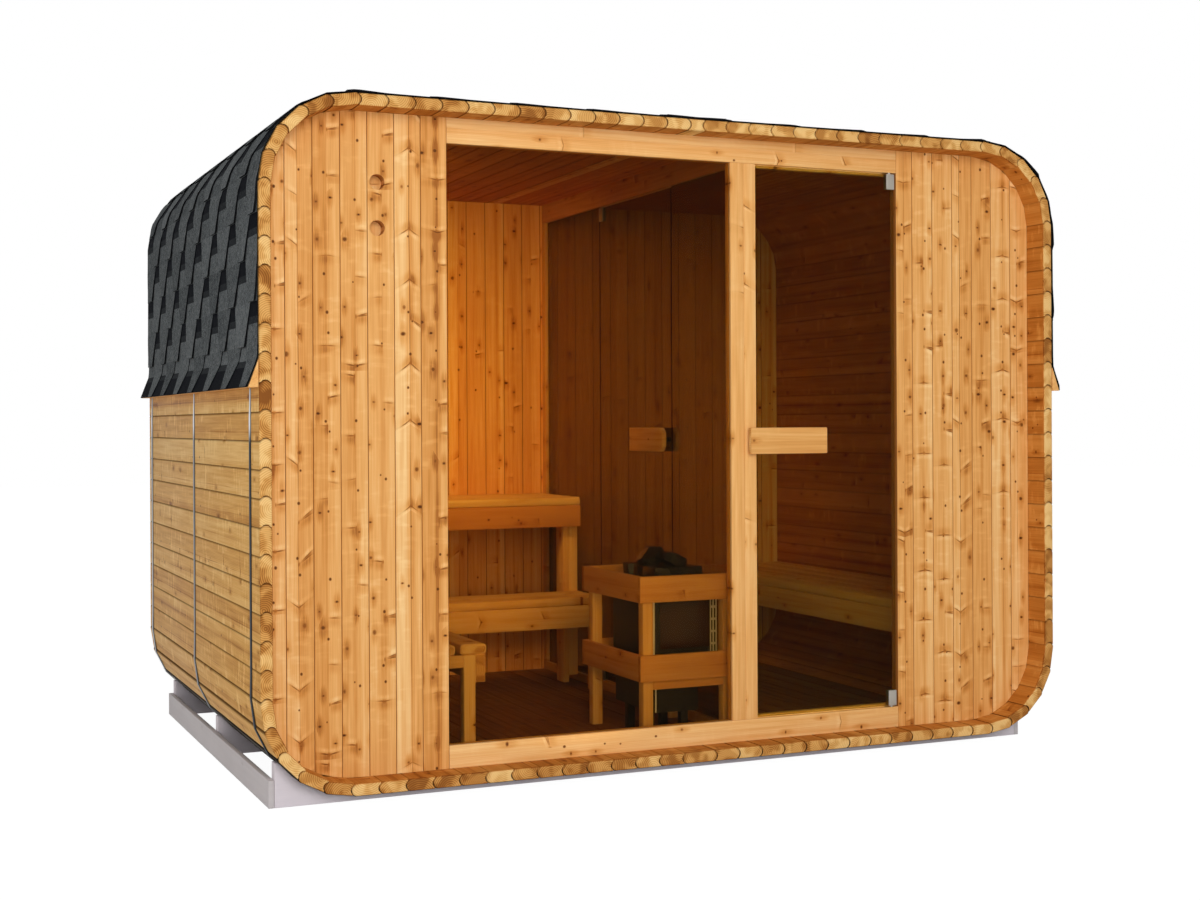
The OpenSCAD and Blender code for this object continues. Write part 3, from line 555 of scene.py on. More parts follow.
def spruce(name, stops, brown, knots=1.0, width=PITCH, halves=1.0, silk=0.3, seam=(66, 32, 10), gleam=0.2):
    """Planed knotty spruce. Place in the board gives a straight heart line near its middle, the
    same figure mirrored on both sides of it, knots, and growth lines at their distance from it,
    bent round the knots. End cuts show rings."""
    s = Shade(name)
    u, v, w = s.split(s.attribute("place"))
    r1, r2, r3 = s.split(s.attribute("tone"))
    cut, joint = s.value("cut"), s.value("joint")
    seed = r1 * 37.0 + r2 * 19.0
    waver = s.noise(s.join(u * 1.6 + seed, r3 * 9.0, 0.0), detail=2.0, rough=0.5)
    heart = (r2 - 0.5) * (width * 0.28) + (waver - 0.5) * 0.012
    d = v - heart
    side = s.rise(d, -0.0015, 0.0015)
    spike, glow, gloom, blot = spike_knots(s, u, v, abs(d), side, knots, seed, r1, r3)
    knot, rim, halo = round_knots(s, u, v, d, knots, seed, r3)
    prick = pin_knots(s, u, d, knots, seed)

    depth = w + 0.010 + r3 * 0.03
    ring = s.math("SQRT", d * d + depth * depth * 0.35) + halo * 0.0040 + glow * 0.003 - gloom * 0.003
    ring = ring + (s.noise(s.join(u * 1.5 + seed, v * 9.0, w * 9.0), detail=2.0) - 0.5) * 0.012
    late = growth(s, ring, 0.0052, 0.35, 0.92, 0.94)
    streak = s.noise(s.join(u * 2.2 + seed, v * 130.0, w * 130.0), detail=3.0, rough=0.6)
    flame = s.noise(s.join(u * 3.4 + seed, ring * 60.0, r1 * 5.0), detail=2.5, rough=0.5)
    curl = s.noise(s.join(u * 34.0 + seed, v * 11.0, w * 11.0), detail=2.0, rough=0.55)
    stripes = s.noise(s.join(u * 5.0 + seed, v * 14.0, r2 * 8.0), detail=1.0)

    shade = 0.34 + (r1 - 0.5) * 0.26 + (side - 0.5) * (r3 - 0.5) * 0.5 * halves
    shade = shade + (streak - 0.5) * 0.46 + (flame - 0.5) * 0.62 + late * 0.10
    shade = shade + s.hump(d, 0.020) * (r2 - 0.25) * 0.40 * halves
    shade = shade - s.rise(curl, 0.5, 0.75) * s.rise(stripes, 0.38, 0.62) * silk
    shade = shade + halo * 0.30 + gloom * 0.40 - glow * 0.34 + blot * 0.45
    body = s.ramp(shade, stops)
    body = s.mix(s.most(rim * 0.7, spike * 0.5), body, stops[-1][1])
    pith = s.hump(d, 0.0022) * s.rise(flame, 0.30, 0.65, 0.35, 1.0)
    pith = pith * s.rise(r3, 0.25, 0.95, 0.10, 0.70) * halves
    dark = s.most(spike, knot, prick * 0.8, pith, blot * 0.50)
    body = s.mix(s.rise(dark, 0.0, 0.55, 0.0, 0.75), body, linear(178, 104, 36))
    body = s.mix(s.rise(dark, 0.25, 0.95, 0.0, 0.95), body, linear(*brown))
    colour = s.mix(cut, body, s.ramp(end_cut(s, v, w, seed, r1, r2, r3), END_TONES))
    # darkening: painted shadow under the shell, painted shade on inner faces and level boards, and the floor
    # made darker inside the room
    under_shadow, painted_shade, floor_darkening = s.split(s.attribute("coat"))
    colour = s.mix(joint * (0.90 - painted_shade * 0.40), colour, linear(*seam))
    # painted shade: an amber darkening of inner faces and level boards
    colour = s.mix(painted_shade, colour, linear(222, 184, 142), "MULTIPLY")
    # the floor's inner face made darker inside the room
    colour = s.mix(floor_darkening, colour, linear(46, 41, 36))
    # painted shadow: near black on the outer faces under the shell
    colour = s.mix(under_shadow * 0.97, colour, linear(16, 14, 12))
    grain = s.bump(late * 0.6 + streak * 0.7 - dark * 0.5, 0.0004, 0.35)
    rough = 0.55 + (streak - 0.5) * 0.15 + late * 0.05 + cut * 0.12 + joint * 0.4
    return s.surface(Base_Color=colour, Roughness=rough, Normal=grain, Specular_IOR_Level=gleam,
                     Specular_Tint=(1.0, 0.82, 0.62, 1.0))


def mineral_felt():
    """Bitumen shingle: granules of three greys. Its band is 0 on the granules, up to 1 on the smooth
    dark head of a course and its underside, and 2 on the rims."""
    s = Shade("shingle felt")
    at = s.place()
    band, r = s.value("band"), s.value("tab")
    fine = s.node("ShaderNodeVectorMath", {0: at, "Scale": 420.0}, operation="SCALE")
    grit = s.cells(fine.outputs[0], "3D")
    g1, g2, _ = s.split(grit["Color"])
    cloud = s.noise(at, 34.0, 3.0, 0.6)
    wide = s.noise(at, 3.0, 2.0, 0.5)
    fleck = s.noise(at, 78.0, 4.0, 0.72, 1.6)
    tone = g1 * 0.3 + (fleck - 0.5) * 3.0 + cloud * 0.55 + (wide - 0.5) * 0.35 + (r - 0.5) * 0.30
    body = s.mix(s.math("ADD", tone, 0.0, clamp=True), linear(50, 54, 56), linear(122, 126, 127))
    body = s.mix((g2 > 0.94) * 0.55, body, linear(150, 150, 146))
    colour = s.mix(s.rise(band, 0.2, 0.6), body, linear(12, 14, 19))
    colour = s.mix(s.rise(band, 1.0, 2.0), colour, linear(20, 21, 23))
    bump = s.bump(Num(s, grit["Distance"]) * -1.0 + cloud * 1.2, 0.0009, 0.7)
    return s.surface(Base_Color=colour, Roughness=0.90 + g1 * 0.08, Normal=bump, Specular_IOR_Level=0.03)


def grey_paint(name, light, dull):
    """Brushed paint whose knots show through as faint spots."""
    s = Shade(name)
    at = s.place()
    x, y, z = s.split(at)
    brush = s.noise(s.join(x * 6.0, y * 1.2, z * 60.0), detail=3.0)
    cloud = s.noise(at, 5.0, 3.0)
    knot = s.cells(s.join(x * 1.4 + y * 4.0, z * 14.0))
    k1, _, _ = s.split(knot["Color"])
    spot = s.rise(Num(s, knot["Distance"]), 0.05, 0.10, 1.0, 0.0) * (k1 < 0.35)
    tone = cloud * 0.7 + brush * 0.5 - 0.1
    body = s.mix(s.math("ADD", tone, 0.0, clamp=True), linear(*light), linear(*dull))
    body = s.mix(spot * 0.3, body, linear(160, 150, 148))
    return s.surface(Base_Color=body, Roughness=0.55 + brush * 0.12,
                     Normal=s.bump(brush - spot * 0.4, 0.0006, 0.4))


def drawn_lines(s, along):
    """Fine lines drawn along one axis of the metal."""
    stretch = [3.0 if axis == along else 900.0 for axis in "xyz"]
    return s.noise(s.join(*(part * k for part, k in zip(s.split(s.place()), stretch))), detail=2.0, rough=0.7)


def strap_steel():
    """Steel of the bands, with painted reflection: dull at the front and brighter towards the back,
    a painted highlight just under the felt, and painted shadow along its dark rims."""
    s = Shade("strap steel")
    _, y, z = s.split(s.place())
    lines = drawn_lines(s, "z")
    rim = s.rise(abs(s.value("across")), 0.45, 0.95)
    # painted reflection: darker at the front, lighter towards the back
    body = s.mix(s.rise(y, -0.9, 0.9), linear(78, 82, 86), linear(206, 207, 208))
    # painted highlight just under the felt
    body = s.mix(s.rise(z, 1.21, 1.28, 0.0, 0.95), body, linear(248, 249, 250))
    # painted shadow along both rims
    body = s.mix(rim * 0.85, body, linear(36, 33, 30))
    return s.surface(Base_Color=body, Metallic=0.75, Roughness=0.36 + (lines - 0.5) * 0.12 + rim * 0.2,
                     Specular_Tint=(0.30, 0.31, 0.33, 1.0), Normal=s.bump(lines, 0.0002, 0.25))


def steel(name, tone, rough, along, metal=1.0):
    """Brushed stainless: fine drawn lines along one axis and faint clouding."""
    s = Shade(name)
    lines = drawn_lines(s, along)
    cloud = s.noise(s.place(), 9.0, 3.0)
    body = s.mix(cloud, linear(*tone), linear(*(int(c * 0.86) for c in tone)))
    rough = rough + (lines - 0.5) * 0.12 + (cloud - 0.5) * 0.08
    return s.surface(Base_Color=body, Metallic=metal, Roughness=rough, Normal=s.bump(lines, 0.0002, 0.25))


def bronze_glass(name, tint):
    """Tinted pane: it bends and mirrors a little of what the eye sees, and lets lamps through."""
    s = Shade(name)
    at = s.place()
    film = s.noise(at, 2.2, 2.0)
    shader = s.node("ShaderNodeBsdfPrincipled", {
        "Base Color": tint, "Roughness": s.rise(film, 0.3, 0.8, 0.0, 0.012), "IOR": 1.1,
        "Transmission Weight": 1.0})
    clear = s.node("ShaderNodeBsdfTransparent", {"Color": tint})
    lamp = s.node("ShaderNodeLightPath").outputs["Is Shadow Ray"]
    both = s.node("ShaderNodeMixShader", {0: lamp, 1: shader.outputs[0], 2: clear.outputs[0]})
    s.node("ShaderNodeOutputMaterial", {0: both.outputs[0]})
    return s.material


def heater_enamel():
    """Dark speckled enamel, a little metallic."""
    s = Shade("heater enamel")
    at = s.place()
    speck = s.noise(at, 260.0, 3.0, 0.7)
    cloud = s.noise(at, 6.0, 3.0)
    body = s.mix(cloud, linear(60, 55, 50), linear(38, 35, 33))
    return s.surface(Base_Color=body, Metallic=0.35, Roughness=0.42 + speck * 0.18,
                     Normal=s.bump(speck, 0.0003, 0.3))


def gloss_panel():
    """Dark gloss enamel with a faint cloudy wave in it."""
    s = Shade("dark gloss enamel")
    cloud = s.noise(s.place(), 7.0, 2.0)
    body = s.mix(cloud, linear(68, 41, 26), linear(50, 31, 20))
    return s.surface(Base_Color=body, Roughness=0.16 + cloud * 0.08, Normal=s.bump(cloud, 0.002, 0.1))


def split_stone():
    """Dark split stone with fine flecks and a few paler veins."""
    s = Shade("split stone")
    at = s.place()
    fleck = s.noise(at, 90.0, 4.0, 0.7)
    cloud = s.noise(at, 14.0, 3.0)
    vein = s.noise(at, 32.0, 4.0, 0.6, 1.2)
    body = s.mix(cloud, linear(46, 42, 38), linear(20, 19, 18))
    body = s.mix(s.rise(vein, 0.58, 0.70) * 0.35, body, linear(92, 80, 66))
    return s.surface(Base_Color=body, Roughness=0.10 + fleck * 0.18,
                     Normal=s.bump(fleck + vein * 0.7, 0.002, 0.35))


EARLY, LATER = (0.0, 0.35, 0.7, 1.0), (0.0, 0.4, 0.75, 1.0)
END_TONES = tones(EARLY, (242, 200, 132), (222, 168, 96), (190, 128, 60), (138, 82, 34))
SHELL_TONES = tones(EARLY, (242, 198, 126), (222, 168, 92), (194, 136, 64), (144, 90, 36))
WALL_TONES = tones(EARLY, (252, 208, 144), (236, 174, 102), (214, 144, 70), (166, 98, 38))
RAIL_TONES = tones(EARLY, (252, 208, 144), (238, 178, 106), (218, 150, 76), (172, 106, 44))
INNER_TONES = tones(LATER, (222, 174, 108), (204, 150, 80), (178, 120, 54), (144, 86, 32))
HANDLE_TONES = tones(LATER, (242, 190, 122), (224, 162, 90), (202, 134, 64), (168, 100, 42))
SLAT_TONES = tones(LATER, (252, 212, 148), (238, 188, 116), (216, 156, 82), (180, 114, 50))
shell_timber = spruce("shell spruce", SHELL_TONES, (90, 52, 20), 0.24, silk=0.52, gleam=0.1)
wall_timber = spruce("wall spruce", WALL_TONES, (76, 35, 8), silk=0.16, seam=(158, 96, 42))
back_timber = spruce("back wall spruce", WALL_TONES, (88, 42, 10), 0.42, silk=0.10)
rail_timber = spruce("rail spruce", RAIL_TONES, (96, 52, 18), 0.42, 0.06, 0.25, 0.05)
inner_timber = spruce("partition softwood", INNER_TONES, (104, 58, 22), 0.45, halves=0.4, silk=0.1)
handle_timber = spruce("handle softwood", HANDLE_TONES, (120, 76, 38), 0.15, halves=0.4, silk=0.05)
slat_timber = spruce("slat softwood", SLAT_TONES, (110, 62, 24), 0.3, halves=0.4, silk=0.1)
felt = mineral_felt()
paint = grey_paint("grey base paint", (206, 199, 199), (184, 177, 178))
# The cradles' paint is lighter than the runners': painted light against the shade under the shell.
cradle_paint_lit = grey_paint("lightened base paint", (228, 219, 224), (206, 197, 203))
strap = strap_steel()
satin = steel("satin steel", (172, 165, 154), 0.34, "x")
# Near white and barely metallic: a painted highlight standing in for what the heater's trim reflects.
highlight_steel = steel("bright steel", (252, 248, 240), 0.30, "z", 0.12)
front_glass = bronze_glass("bronze front glass", (0.53, 0.42, 0.22, 1.0))
door_pane = bronze_glass("bronze door glass", (0.54, 0.495, 0.240, 1.0))
inner_glass = bronze_glass("bronze partition glass", (0.50, 0.42, 0.28, 1.0))
enamel = heater_enamel()
dark_gloss = gloss_panel()
rock = split_stone()


# ---- Shell staves ----

EASE = 0.0026  # cut off the arris between a stave's face and its bead or hollow
ARRIS = 0.0018  # ease of a board's edge, over which its joint darkens
FLOOR_DARK = 0.62  # how much darker the floor's inner face is made inside the room


def stave_outline(left_bead=False, right_socket=False):
    """A stave's section, anticlockwise, and which of its corners lie in a joint: a hollow of the
    bead's radius on one edge and a round bead on the other, both cut off by its faces, whose
    arrises are eased."""
    steps = 9
    hollow = BEAD + CLEAR
    deep = np.arcsin((THICK / 2 - EASE) / np.array([BEAD, hollow]))
    face = np.sqrt(np.array([BEAD, hollow]) ** 2 - THICK ** 2 / 4)

    def edge(rim, turn, arc):
        flat = rim + (ARRIS if rim < PITCH / 2 else -ARRIS)
        top = turn * THICK / 2
        return np.vstack([[flat, -top], [rim, -top], arc, [rim, top], [flat, top]])

    def bead(x, way):
        t = np.linspace(-deep[0], deep[0], steps)
        arc = np.stack([x + way * BEAD * np.cos(t), way * BEAD * np.sin(t)], 1)
        return edge(x + way * (face[0] - EASE), way, arc)

    def socket(x, way):
        t = np.linspace(-deep[1], deep[1], steps)
        arc = np.stack([x + way * hollow * np.cos(t), -way * hollow * np.sin(t)], 1)
        return edge(x + way * (face[1] + EASE), -way, arc)

    start = bead(0.0, -1) if left_bead else socket(0.0, 1)
    finish = socket(PITCH, -1) if right_socket else bead(PITCH, 1)
    inside = np.ones(steps + 4)
    inside[[0, 1, -2, -1]] = [0.0, 0.3, 0.3, 0.0]
    return np.vstack([start, finish]), np.tile(inside, 2)


def add_stave(stock, section, at, heading, mirror=False, shadowed_under=False, darker_floor=0.0):
    """A section carried along Y from end to end, drawn in by up to 5.5 mm over the last 5 mm at
    both ends, and stopping short of the shell's line by up to a millimetre. Its inner face gets
    painted shade, the floor's inner face is made darker still inside the room, and the outer face
    of a stave under the shell can get a near-black painted shadow."""
    outline, inside = section
    m = len(outline)
    short = stock.dice.random(2) * 0.0009
    a, b = FRONT + short[0], BACK - short[1]
    ys = [a, a + 0.0008, a + 0.0026, a + 0.0050, b - 0.0050, b - 0.0026, b - 0.0008, b]
    pull = [5.5, 2.8, 1.0, 0.0, 0.0, 1.0, 2.8, 5.5]
    joint = [0.0, 0.35, 0.85, 1.0, 1.0, 0.85, 0.35, 0.0]
    coat = [0, 0, 1, 1, 1, 1, 0, 0]
    floor_rows = [0] * 8
    if darker_floor:
        ys[4:4] = [WALL_FRONT + 0.010, WALL_DEEP - 0.006, ROOM_BACK + 0.006, ROOM_BACK + 0.030]
        pull[4:4] = [0.0] * 4
        joint[4:4] = coat[4:4] = [1] * 4
        floor_rows[4:4] = [0, darker_floor, darker_floor, 0]
    ys, joint, rows = np.array(ys), np.array(joint), len(ys)
    pull = np.array(pull)[:, None, None] * 0.001
    centre = np.array([PITCH / 2, 0.0])
    local = centre + (outline - centre)[None] * (1 - pull / np.array([0.058, THICK / 2]))
    xz = turned(local, heading) + at
    out = np.stack([xz[..., 0] * (-1 if mirror else 1), np.repeat(ys[:, None], m, 1), xz[..., 1]], -1)
    place = np.stack([np.repeat(ys[:, None], m, 1), local[..., 0] - PITCH / 2, local[..., 1]], -1)
    joint = joint[:, None] * inside
    faces, cuts = prism_faces(m, rows)
    cuts = np.array(cuts)
    cuts[:m * 3] = cuts[m * (rows - 4):m * (rows - 1)] = 1.0
    if not mirror:
        faces = [f[::-1] for f in faces]
    inner = outline[:, 1] > 0
    # outer faces under the shell get painted shadow, inner faces painted shade, and the floor's inner face is
    # made darker inside the room
    darkenings = np.stack([np.outer(coat, ~inner & shadowed_under), np.outer(coat, inner), np.outer(floor_rows, inner)], -1)
    stock.add(out.reshape(-1, 3), place.reshape(-1, 3), faces, cuts, joint.ravel(), darkenings.reshape(-1, 3))


def staves():
    """The shell, node by node: each run is its first stave, their number, and whether they are on
    the left. The floor is made darker inside, and it and the corners' first staves get a near-black
    painted shadow outside."""
    plain = stave_outline()
    runs = {"floor": [(0, HALF, False), (0, HALF, True)],
            "roof": [(FIRST_ROOF, HALF, False), (FIRST_ROOF, HALF, True)],
            "left_wall": [(FIRST_SIDE, SIDE, True)],
            "right_wall": [(FIRST_SIDE, SIDE, False)],
            "lower_corner": [(FIRST_LOW, CORNER, False), (FIRST_LOW, CORNER, True)],
            "upper_corner": [(FIRST_HIGH, CORNER, False), (FIRST_HIGH, CORNER, True)]}
    for order, (part, lengths) in enumerate(runs.items()):
        stock = Stock(100 + order)
        for first, count, mirror in lengths:
            for i in range(first, first + count):
                add_stave(stock, plain, BEADS[i], HEADS[i], mirror, i < FIRST_SIDE - 2, FLOOR_DARK * (i < HALF))
        if part == "floor":
            middle = stave_outline(left_bead=True)
            add_stave(stock, middle, [-PITCH / 2, MID_LOW], 0.0, shadowed_under=True, darker_floor=FLOOR_DARK)
        if part == "roof":
            add_stave(stock, stave_outline(right_socket=True), [-PITCH / 2, MID_HIGH], 0.0)
        fit(stock.piece(f"{part}_stave_set"), shell_timber, f"{part}_staves")


# ---- End walls ----

WALL_GAP = 0.0008
VENT_R = 0.027
VENT_END = 0.052  # from the slider's ends to the middles of the holes


def upright(stock, x0, x1, y0, y1):
    """One matched board of an end wall: a section across X with eased arrises at the front,
    carried from the room's lower outline to its upper one, which give each corner its height."""
    n = 7
    left, right = x0 + WALL_GAP / 2, x1 - WALL_GAP / 2
    run = np.linspace(left + ARRIS, right - ARRIS, n)
    front = np.stack([run, np.full(n, y0)], 1)
    back = np.stack([run[::-1], np.full(n, y1)], 1)
    edges = [[[right, y0 + ARRIS], [right, y1 - ARRIS]], [[left, y1 - ARRIS], [left, y0 + ARRIS]]]
    ring = np.vstack([front, edges[0], back, edges[1]])
    m = len(ring)
    rise = np.interp(np.abs(ring[:, 0]), ROOM_X, ROOM_RISE)
    z = np.stack([ROOM_MIDDLE - rise, ROOM_MIDDLE + rise])
    x, y = (np.broadcast_to(ring[:, k], (2, m)) for k in range(2))
    out = np.stack([x, y, z], -1)
    place = np.stack([z - ROOM_MIDDLE, x - (x0 + x1) / 2, y - (y0 + y1) / 2], -1)
    faces, cuts = prism_faces(m, 2)
    deep = np.concatenate([np.zeros(n), [1, 1], np.zeros(n), [1, 1]])
    stock.add(out.reshape(-1, 3), place.reshape(-1, 3), faces, cuts, np.tile(deep, 2))


def wall_panel(node, name, seed, joints, holes=()):
    """The boards of an end wall between its joints. Where holes are bored through it, the new
    corners need their places, tones and joints worked out again from where they lie."""
    stock = Stock(seed)
    lo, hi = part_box(node)
    for x0, x1 in zip(joints[:-1], joints[1:]):
        upright(stock, x0, x1, lo[1], hi[1])
    made = stock.piece(name)
    if holes:
        bore(made, holes)
        mesh = made.data
        co = corners_of(mesh)
        which = np.clip(np.searchsorted(joints, co[:, 0]) - 1, 0, len(joints) - 2)
        x0, x1 = joints[which], joints[which + 1]
        centre = np.stack([(x0 + x1) / 2, np.full(len(co), (lo[1] + hi[1]) / 2),
                           np.full(len(co), ROOM_MIDDLE)], 1)
        for key in ("place", "tone", "cut", "joint"):
            if key in mesh.attributes:
                mesh.attributes.remove(mesh.attributes[key])
        vector(mesh, "place", (co - centre)[:, [2, 0, 1]])
        vector(mesh, "tone", np.random.default_rng(seed).random((len(joints), 3))[which])
        number(mesh, "cut", "FACE")
        at_edge = np.abs(co[:, 0] - centre[:, 0]) > (x1 - x0) / 2 - 0.0012
        # The bored holes' walls are darkened like joints: painted shade in the bores.
        bore_shade = (co[:, 1] > lo[1] + 0.003) & (np.abs(co[:, 0] - holes[0][0]) < VENT_R - 0.0005)
        number(mesh, "joint", "POINT", at_edge | bore_shade)
        smoothed(mesh)
    return made


def bore(made, holes):
    """Bores round holes through a panel along Y."""
    n = 40
    t = np.linspace(0, 2 * np.pi, n, endpoint=False)
    faces, _ = prism_faces(n, 2)
    for x, z in holes:
        ring = np.stack([x + VENT_R * np.cos(t), np.zeros(n), z + VENT_R * np.sin(t)], 1)
        ends = np.vstack([ring + [0, WALL_FRONT - 0.05, 0], ring + [0, WALL_DEEP + 0.05, 0]])
        mesh = bpy.data.meshes.new("bit")
        mesh.from_pydata(ends, [], [f[::-1] for f in faces])
        bit = link("bit", mesh, 0)
        cutter = made.modifiers.new("bore", "BOOLEAN")
        cutter.operation, cutter.object, cutter.solver = "DIFFERENCE", bit, "EXACT"
        done = bpy.data.meshes.new_from_object(made.evaluated_get(bpy.context.evaluated_depsgraph_get()))
        made.modifiers.clear()
        made.data = done
        bpy.data.objects.remove(bit)


def joints_from(edge, end, used=0.0):
    """Board joints every pitch from the opening's edge out to the shell. The first board is
    narrower by what is used of it."""
    step = PITCH if end > edge else -PITCH
    line = np.arange(edge + (step - used * np.sign(step)), end, step)
    return np.sort(np.concatenate([[edge, end], line]))


def end_walls():
    """Both end walls as separate upright boards, and the rails, post, slider and battens."""
    left, right, back, vents = (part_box(n) for n in ("front_panel_left", "front_panel_right", "back_wall",
                                                    "vent_slider"))
    vent_x = (vents[0][0] + vents[1][0]) / 2
    holes = [(vent_x, vents[1][2] - VENT_END), (vent_x, vents[0][2] + VENT_END)]
    fit(wall_panel("front_panel_left", "left_wall_boards", 211, joints_from(left[1][0], left[0][0]), holes),
        wall_timber, "front_panel_left")
    fit(wall_panel("front_panel_right", "right_wall_boards", 223,
                   joints_from(right[0][0], right[1][0], used=0.02)),
        wall_timber, "front_panel_right")
    half = joints_from(PITCH / 2, back[1][0])
    fit(wall_panel("back_wall", "back_wall_boards", 227, np.concatenate([-half[::-1], half])),
        back_timber, "back_wall")
    for node, seed, parted in (("head_rail", 2, None), ("sill_rail", 3, None), ("mullion_post", 7, POST_SEAM),
                               ("vent_slider", 5, None), ("drip_battens", 6, None)):
        fit(recut(node + "_timber", node, 0.0018, seed, parted), rail_timber, node)


# ---- Roof ----

COURSES = 17
BUTT = 0.009
LIFT = SEAT + BAND_T + SEAT
DRIP_OUT = 0.034
BEND = 0.040
TAB_PITCH = 1.0 / 3.0
TAB_ROOT, TAB_FOOT = 0.240, 0.098
FELT_T, TAB_T = 0.0022, 0.0052
DARK_HEAD, DARK_FOOT = 0.062, 0.080
END_IN = 0.004  # how far the lowest course's plain strip stops short of the ends
CAP_PIECES = 14
CAP_LAP, CAP_RISE, CAP_T = 0.06, 0.0024, 0.0020


def roof_line():
    """The line under the shingles of the right half: up the drip batten, up the side, from
    shoulder to shoulder of the corner's beads, and across to the ridge."""
    drip_z = MID_LOW + LEG + BARE * PITCH
    ridge_z = MID_HIGH + THICK / 2 + LIFT
    corner = [shoulder(k, LIFT) for k in range(FIRST_HIGH, FIRST_ROOF + 1)]
    return np.vstack([[OUTER_X + LIFT + DRIP_OUT, drip_z], [OUTER_X + LIFT, drip_z + PITCH], corner,
                      [BEADS[FIRST_ROOF + 1][0], ridge_z], [0.0, ridge_z]])


ROOF = roof_line()
ROOF_RUN = np.concatenate([[0], np.cumsum(np.linalg.norm(np.diff(ROOF, axis=0), axis=1))])


def over_roof(s, h):
    """A point at run s and height h over the roof's line. Its normal is blended over a short
    stretch round each bend, so that a course bends instead of folding."""
    s = np.asarray(s, float)
    x = np.interp(s, ROOF_RUN, ROOF[:, 0])
    z = np.interp(s, ROOF_RUN, ROOF[:, 1])
    way = np.diff(ROOF, axis=0) / np.diff(ROOF_RUN)[:, None]
    tilt = np.unwrap(np.arctan2(way[:, 1], way[:, 0]))
    knots = np.concatenate([[k - BEND / 2, k + BEND / 2] for k in ROOF_RUN[1:-1]])
    angle = np.interp(s, knots, np.repeat(tilt, 2)[1:-1])
    return x + h * np.sin(angle), z - h * np.cos(angle)


def course_height(k, t, e):
    """Height of a course's outer face at t above its butt: nearly level over the tabs, down to the
    head's height at their roots, and level under the next course."""
    butt = np.interp(k, [0, 1, 6, 9], [BUTT - 0.0011, 0.0120, 0.0120, 0.0062])
    return np.interp(t, [0, 0.5 * e, e, 2 * e], [butt, butt * 0.55 + 0.0020, 0.0036, 0.0026])


def felt_strip(part, k, e, mirror, dice):
    """Course k with e of it showing: a plain head strip, and tabs like teeth that hang from it to
    the butt. Each tab is a grid in run and Y whose width tapers from its root to its butt, and
    whose foot curls up a little. The lowest course has a second plain strip under its tabs."""
    s0 = k * e
    blocks = []
    t = np.linspace(e, min(2 * e, ROOF_RUN[-1] - s0), 7)
    if t[-1] > t[0]:
        blocks.append((t, np.stack([np.linspace(FRONT, BACK, 60)] * 7),
                       (t > 2 * e - DARK_HEAD).astype(float)))
    if k == 0:
        t = np.linspace(0.0, e, 7)
        blocks.append((t, np.stack([np.linspace(FRONT + END_IN, BACK - END_IN, 30)] * 7),
                       (t < DARK_FOOT).astype(float)))
    first_tab = 2 if k == 0 else 1
    offset = (k % 2) * TAB_PITCH / 2 + 0.06
    for r in np.arange(FRONT - 1.0, BACK + 1.0, TAB_PITCH) + offset:
        grow = dice.normal(0, 0.004, 4)
        t = np.linspace(0.0, 1.02 * e, 8)
        share = t / e
        wide = TAB_FOOT + (TAB_ROOT - TAB_FOOT) * share
        lo = r - wide / 2 + grow[0] + grow[1] * share
        hi = r + wide / 2 + grow[2] + grow[3] * share
        y = lo[:, None] + (hi - lo)[:, None] * np.linspace(0, 1, 7)
        y = np.clip(y, FRONT + 0.001 * dice.random(), BACK - 0.001 * dice.random())
        if np.ptp(y) < 0.02 or hi[0] < FRONT + 0.03 or lo[0] > BACK - 0.03:
            continue
        blocks.append((t, y, np.zeros(8)))
    for b, (t, y, dark) in enumerate(blocks):
        n, m = y.shape
        tone = dice.random()
        h = course_height(k, t, e) - (0.0032 if k == 0 and b == 1 else 0.0)
        thick, lift = FELT_T, np.zeros((n, m))
        if b >= first_tab:
            thick = np.minimum(TAB_T, h - 0.0006)[:, None]
            curl = dice.random(2) * 0.0012
            across = curl[0] + (curl[1] - curl[0]) * np.linspace(0, 1, m)
            lift = (1 - np.clip(t / 0.06, 0, 1))[:, None] * across
        grids = []
        for down in (0.0, thick):
            x, z = over_roof(np.repeat((s0 + t)[:, None], m, 1), h[:, None] + lift - down)
            grids.append(np.stack([x * (-1 if mirror else 1), y, z], -1))
        part.sheet(*grids, dark, tone, mirror)


class Felt:
    """Sheets of felt gathered into one mesh, each an outer and an inner grid closed by its rim."""

    def __init__(self):
        self.corners, self.faces, self.band, self.tone, self.count = [], [], [], [], 0

    def sheet(self, outer, inner, dark, tone, flip):
        """Adds a sheet whose rows are as dark as given, and whose inner side is dark."""
        n, m = outer.shape[:2]
        i, j = np.meshgrid(np.arange(n - 1), np.arange(m - 1), indexing="ij")
        a = (i * m + j).ravel()
        top = np.stack([a, a + 1, a + m + 1, a + m], 1)
        low = top[:, ::-1] + n * m
        rim = np.concatenate([np.arange(m), np.arange(1, n) * m + m - 1,
                              (n - 1) * m + np.arange(m - 2, -1, -1), np.arange(n - 2, 0, -1) * m])
        nxt = np.roll(rim, -1)
        side = np.stack([rim, rim + n * m, nxt + n * m, nxt], 1)
        faces = np.vstack([top, low, side])
        if not flip:
            faces = faces[:, ::-1]
        dim = np.concatenate([np.repeat((dark[:-1] + dark[1:]) / 2, m - 1), np.ones((n - 1) * (m - 1)),
                              np.full(len(rim), 2.0)])
        self.corners += [outer.reshape(-1, 3), inner.reshape(-1, 3)]
        self.faces.append(faces + self.count)
        self.band.append(dim)
        self.tone.append(np.full(len(faces), tone))
        self.count += 2 * n * m

    def piece(self, name):
        """All the sheets as one object."""
        mesh = bpy.data.meshes.new(name)
        mesh.from_pydata(np.vstack(self.corners), [], np.vstack(self.faces).tolist())
        number(mesh, "band", "FACE", np.concatenate(self.band))
        number(mesh, "tab", "FACE", np.concatenate(self.tone))
        return link(name, mesh, 40)


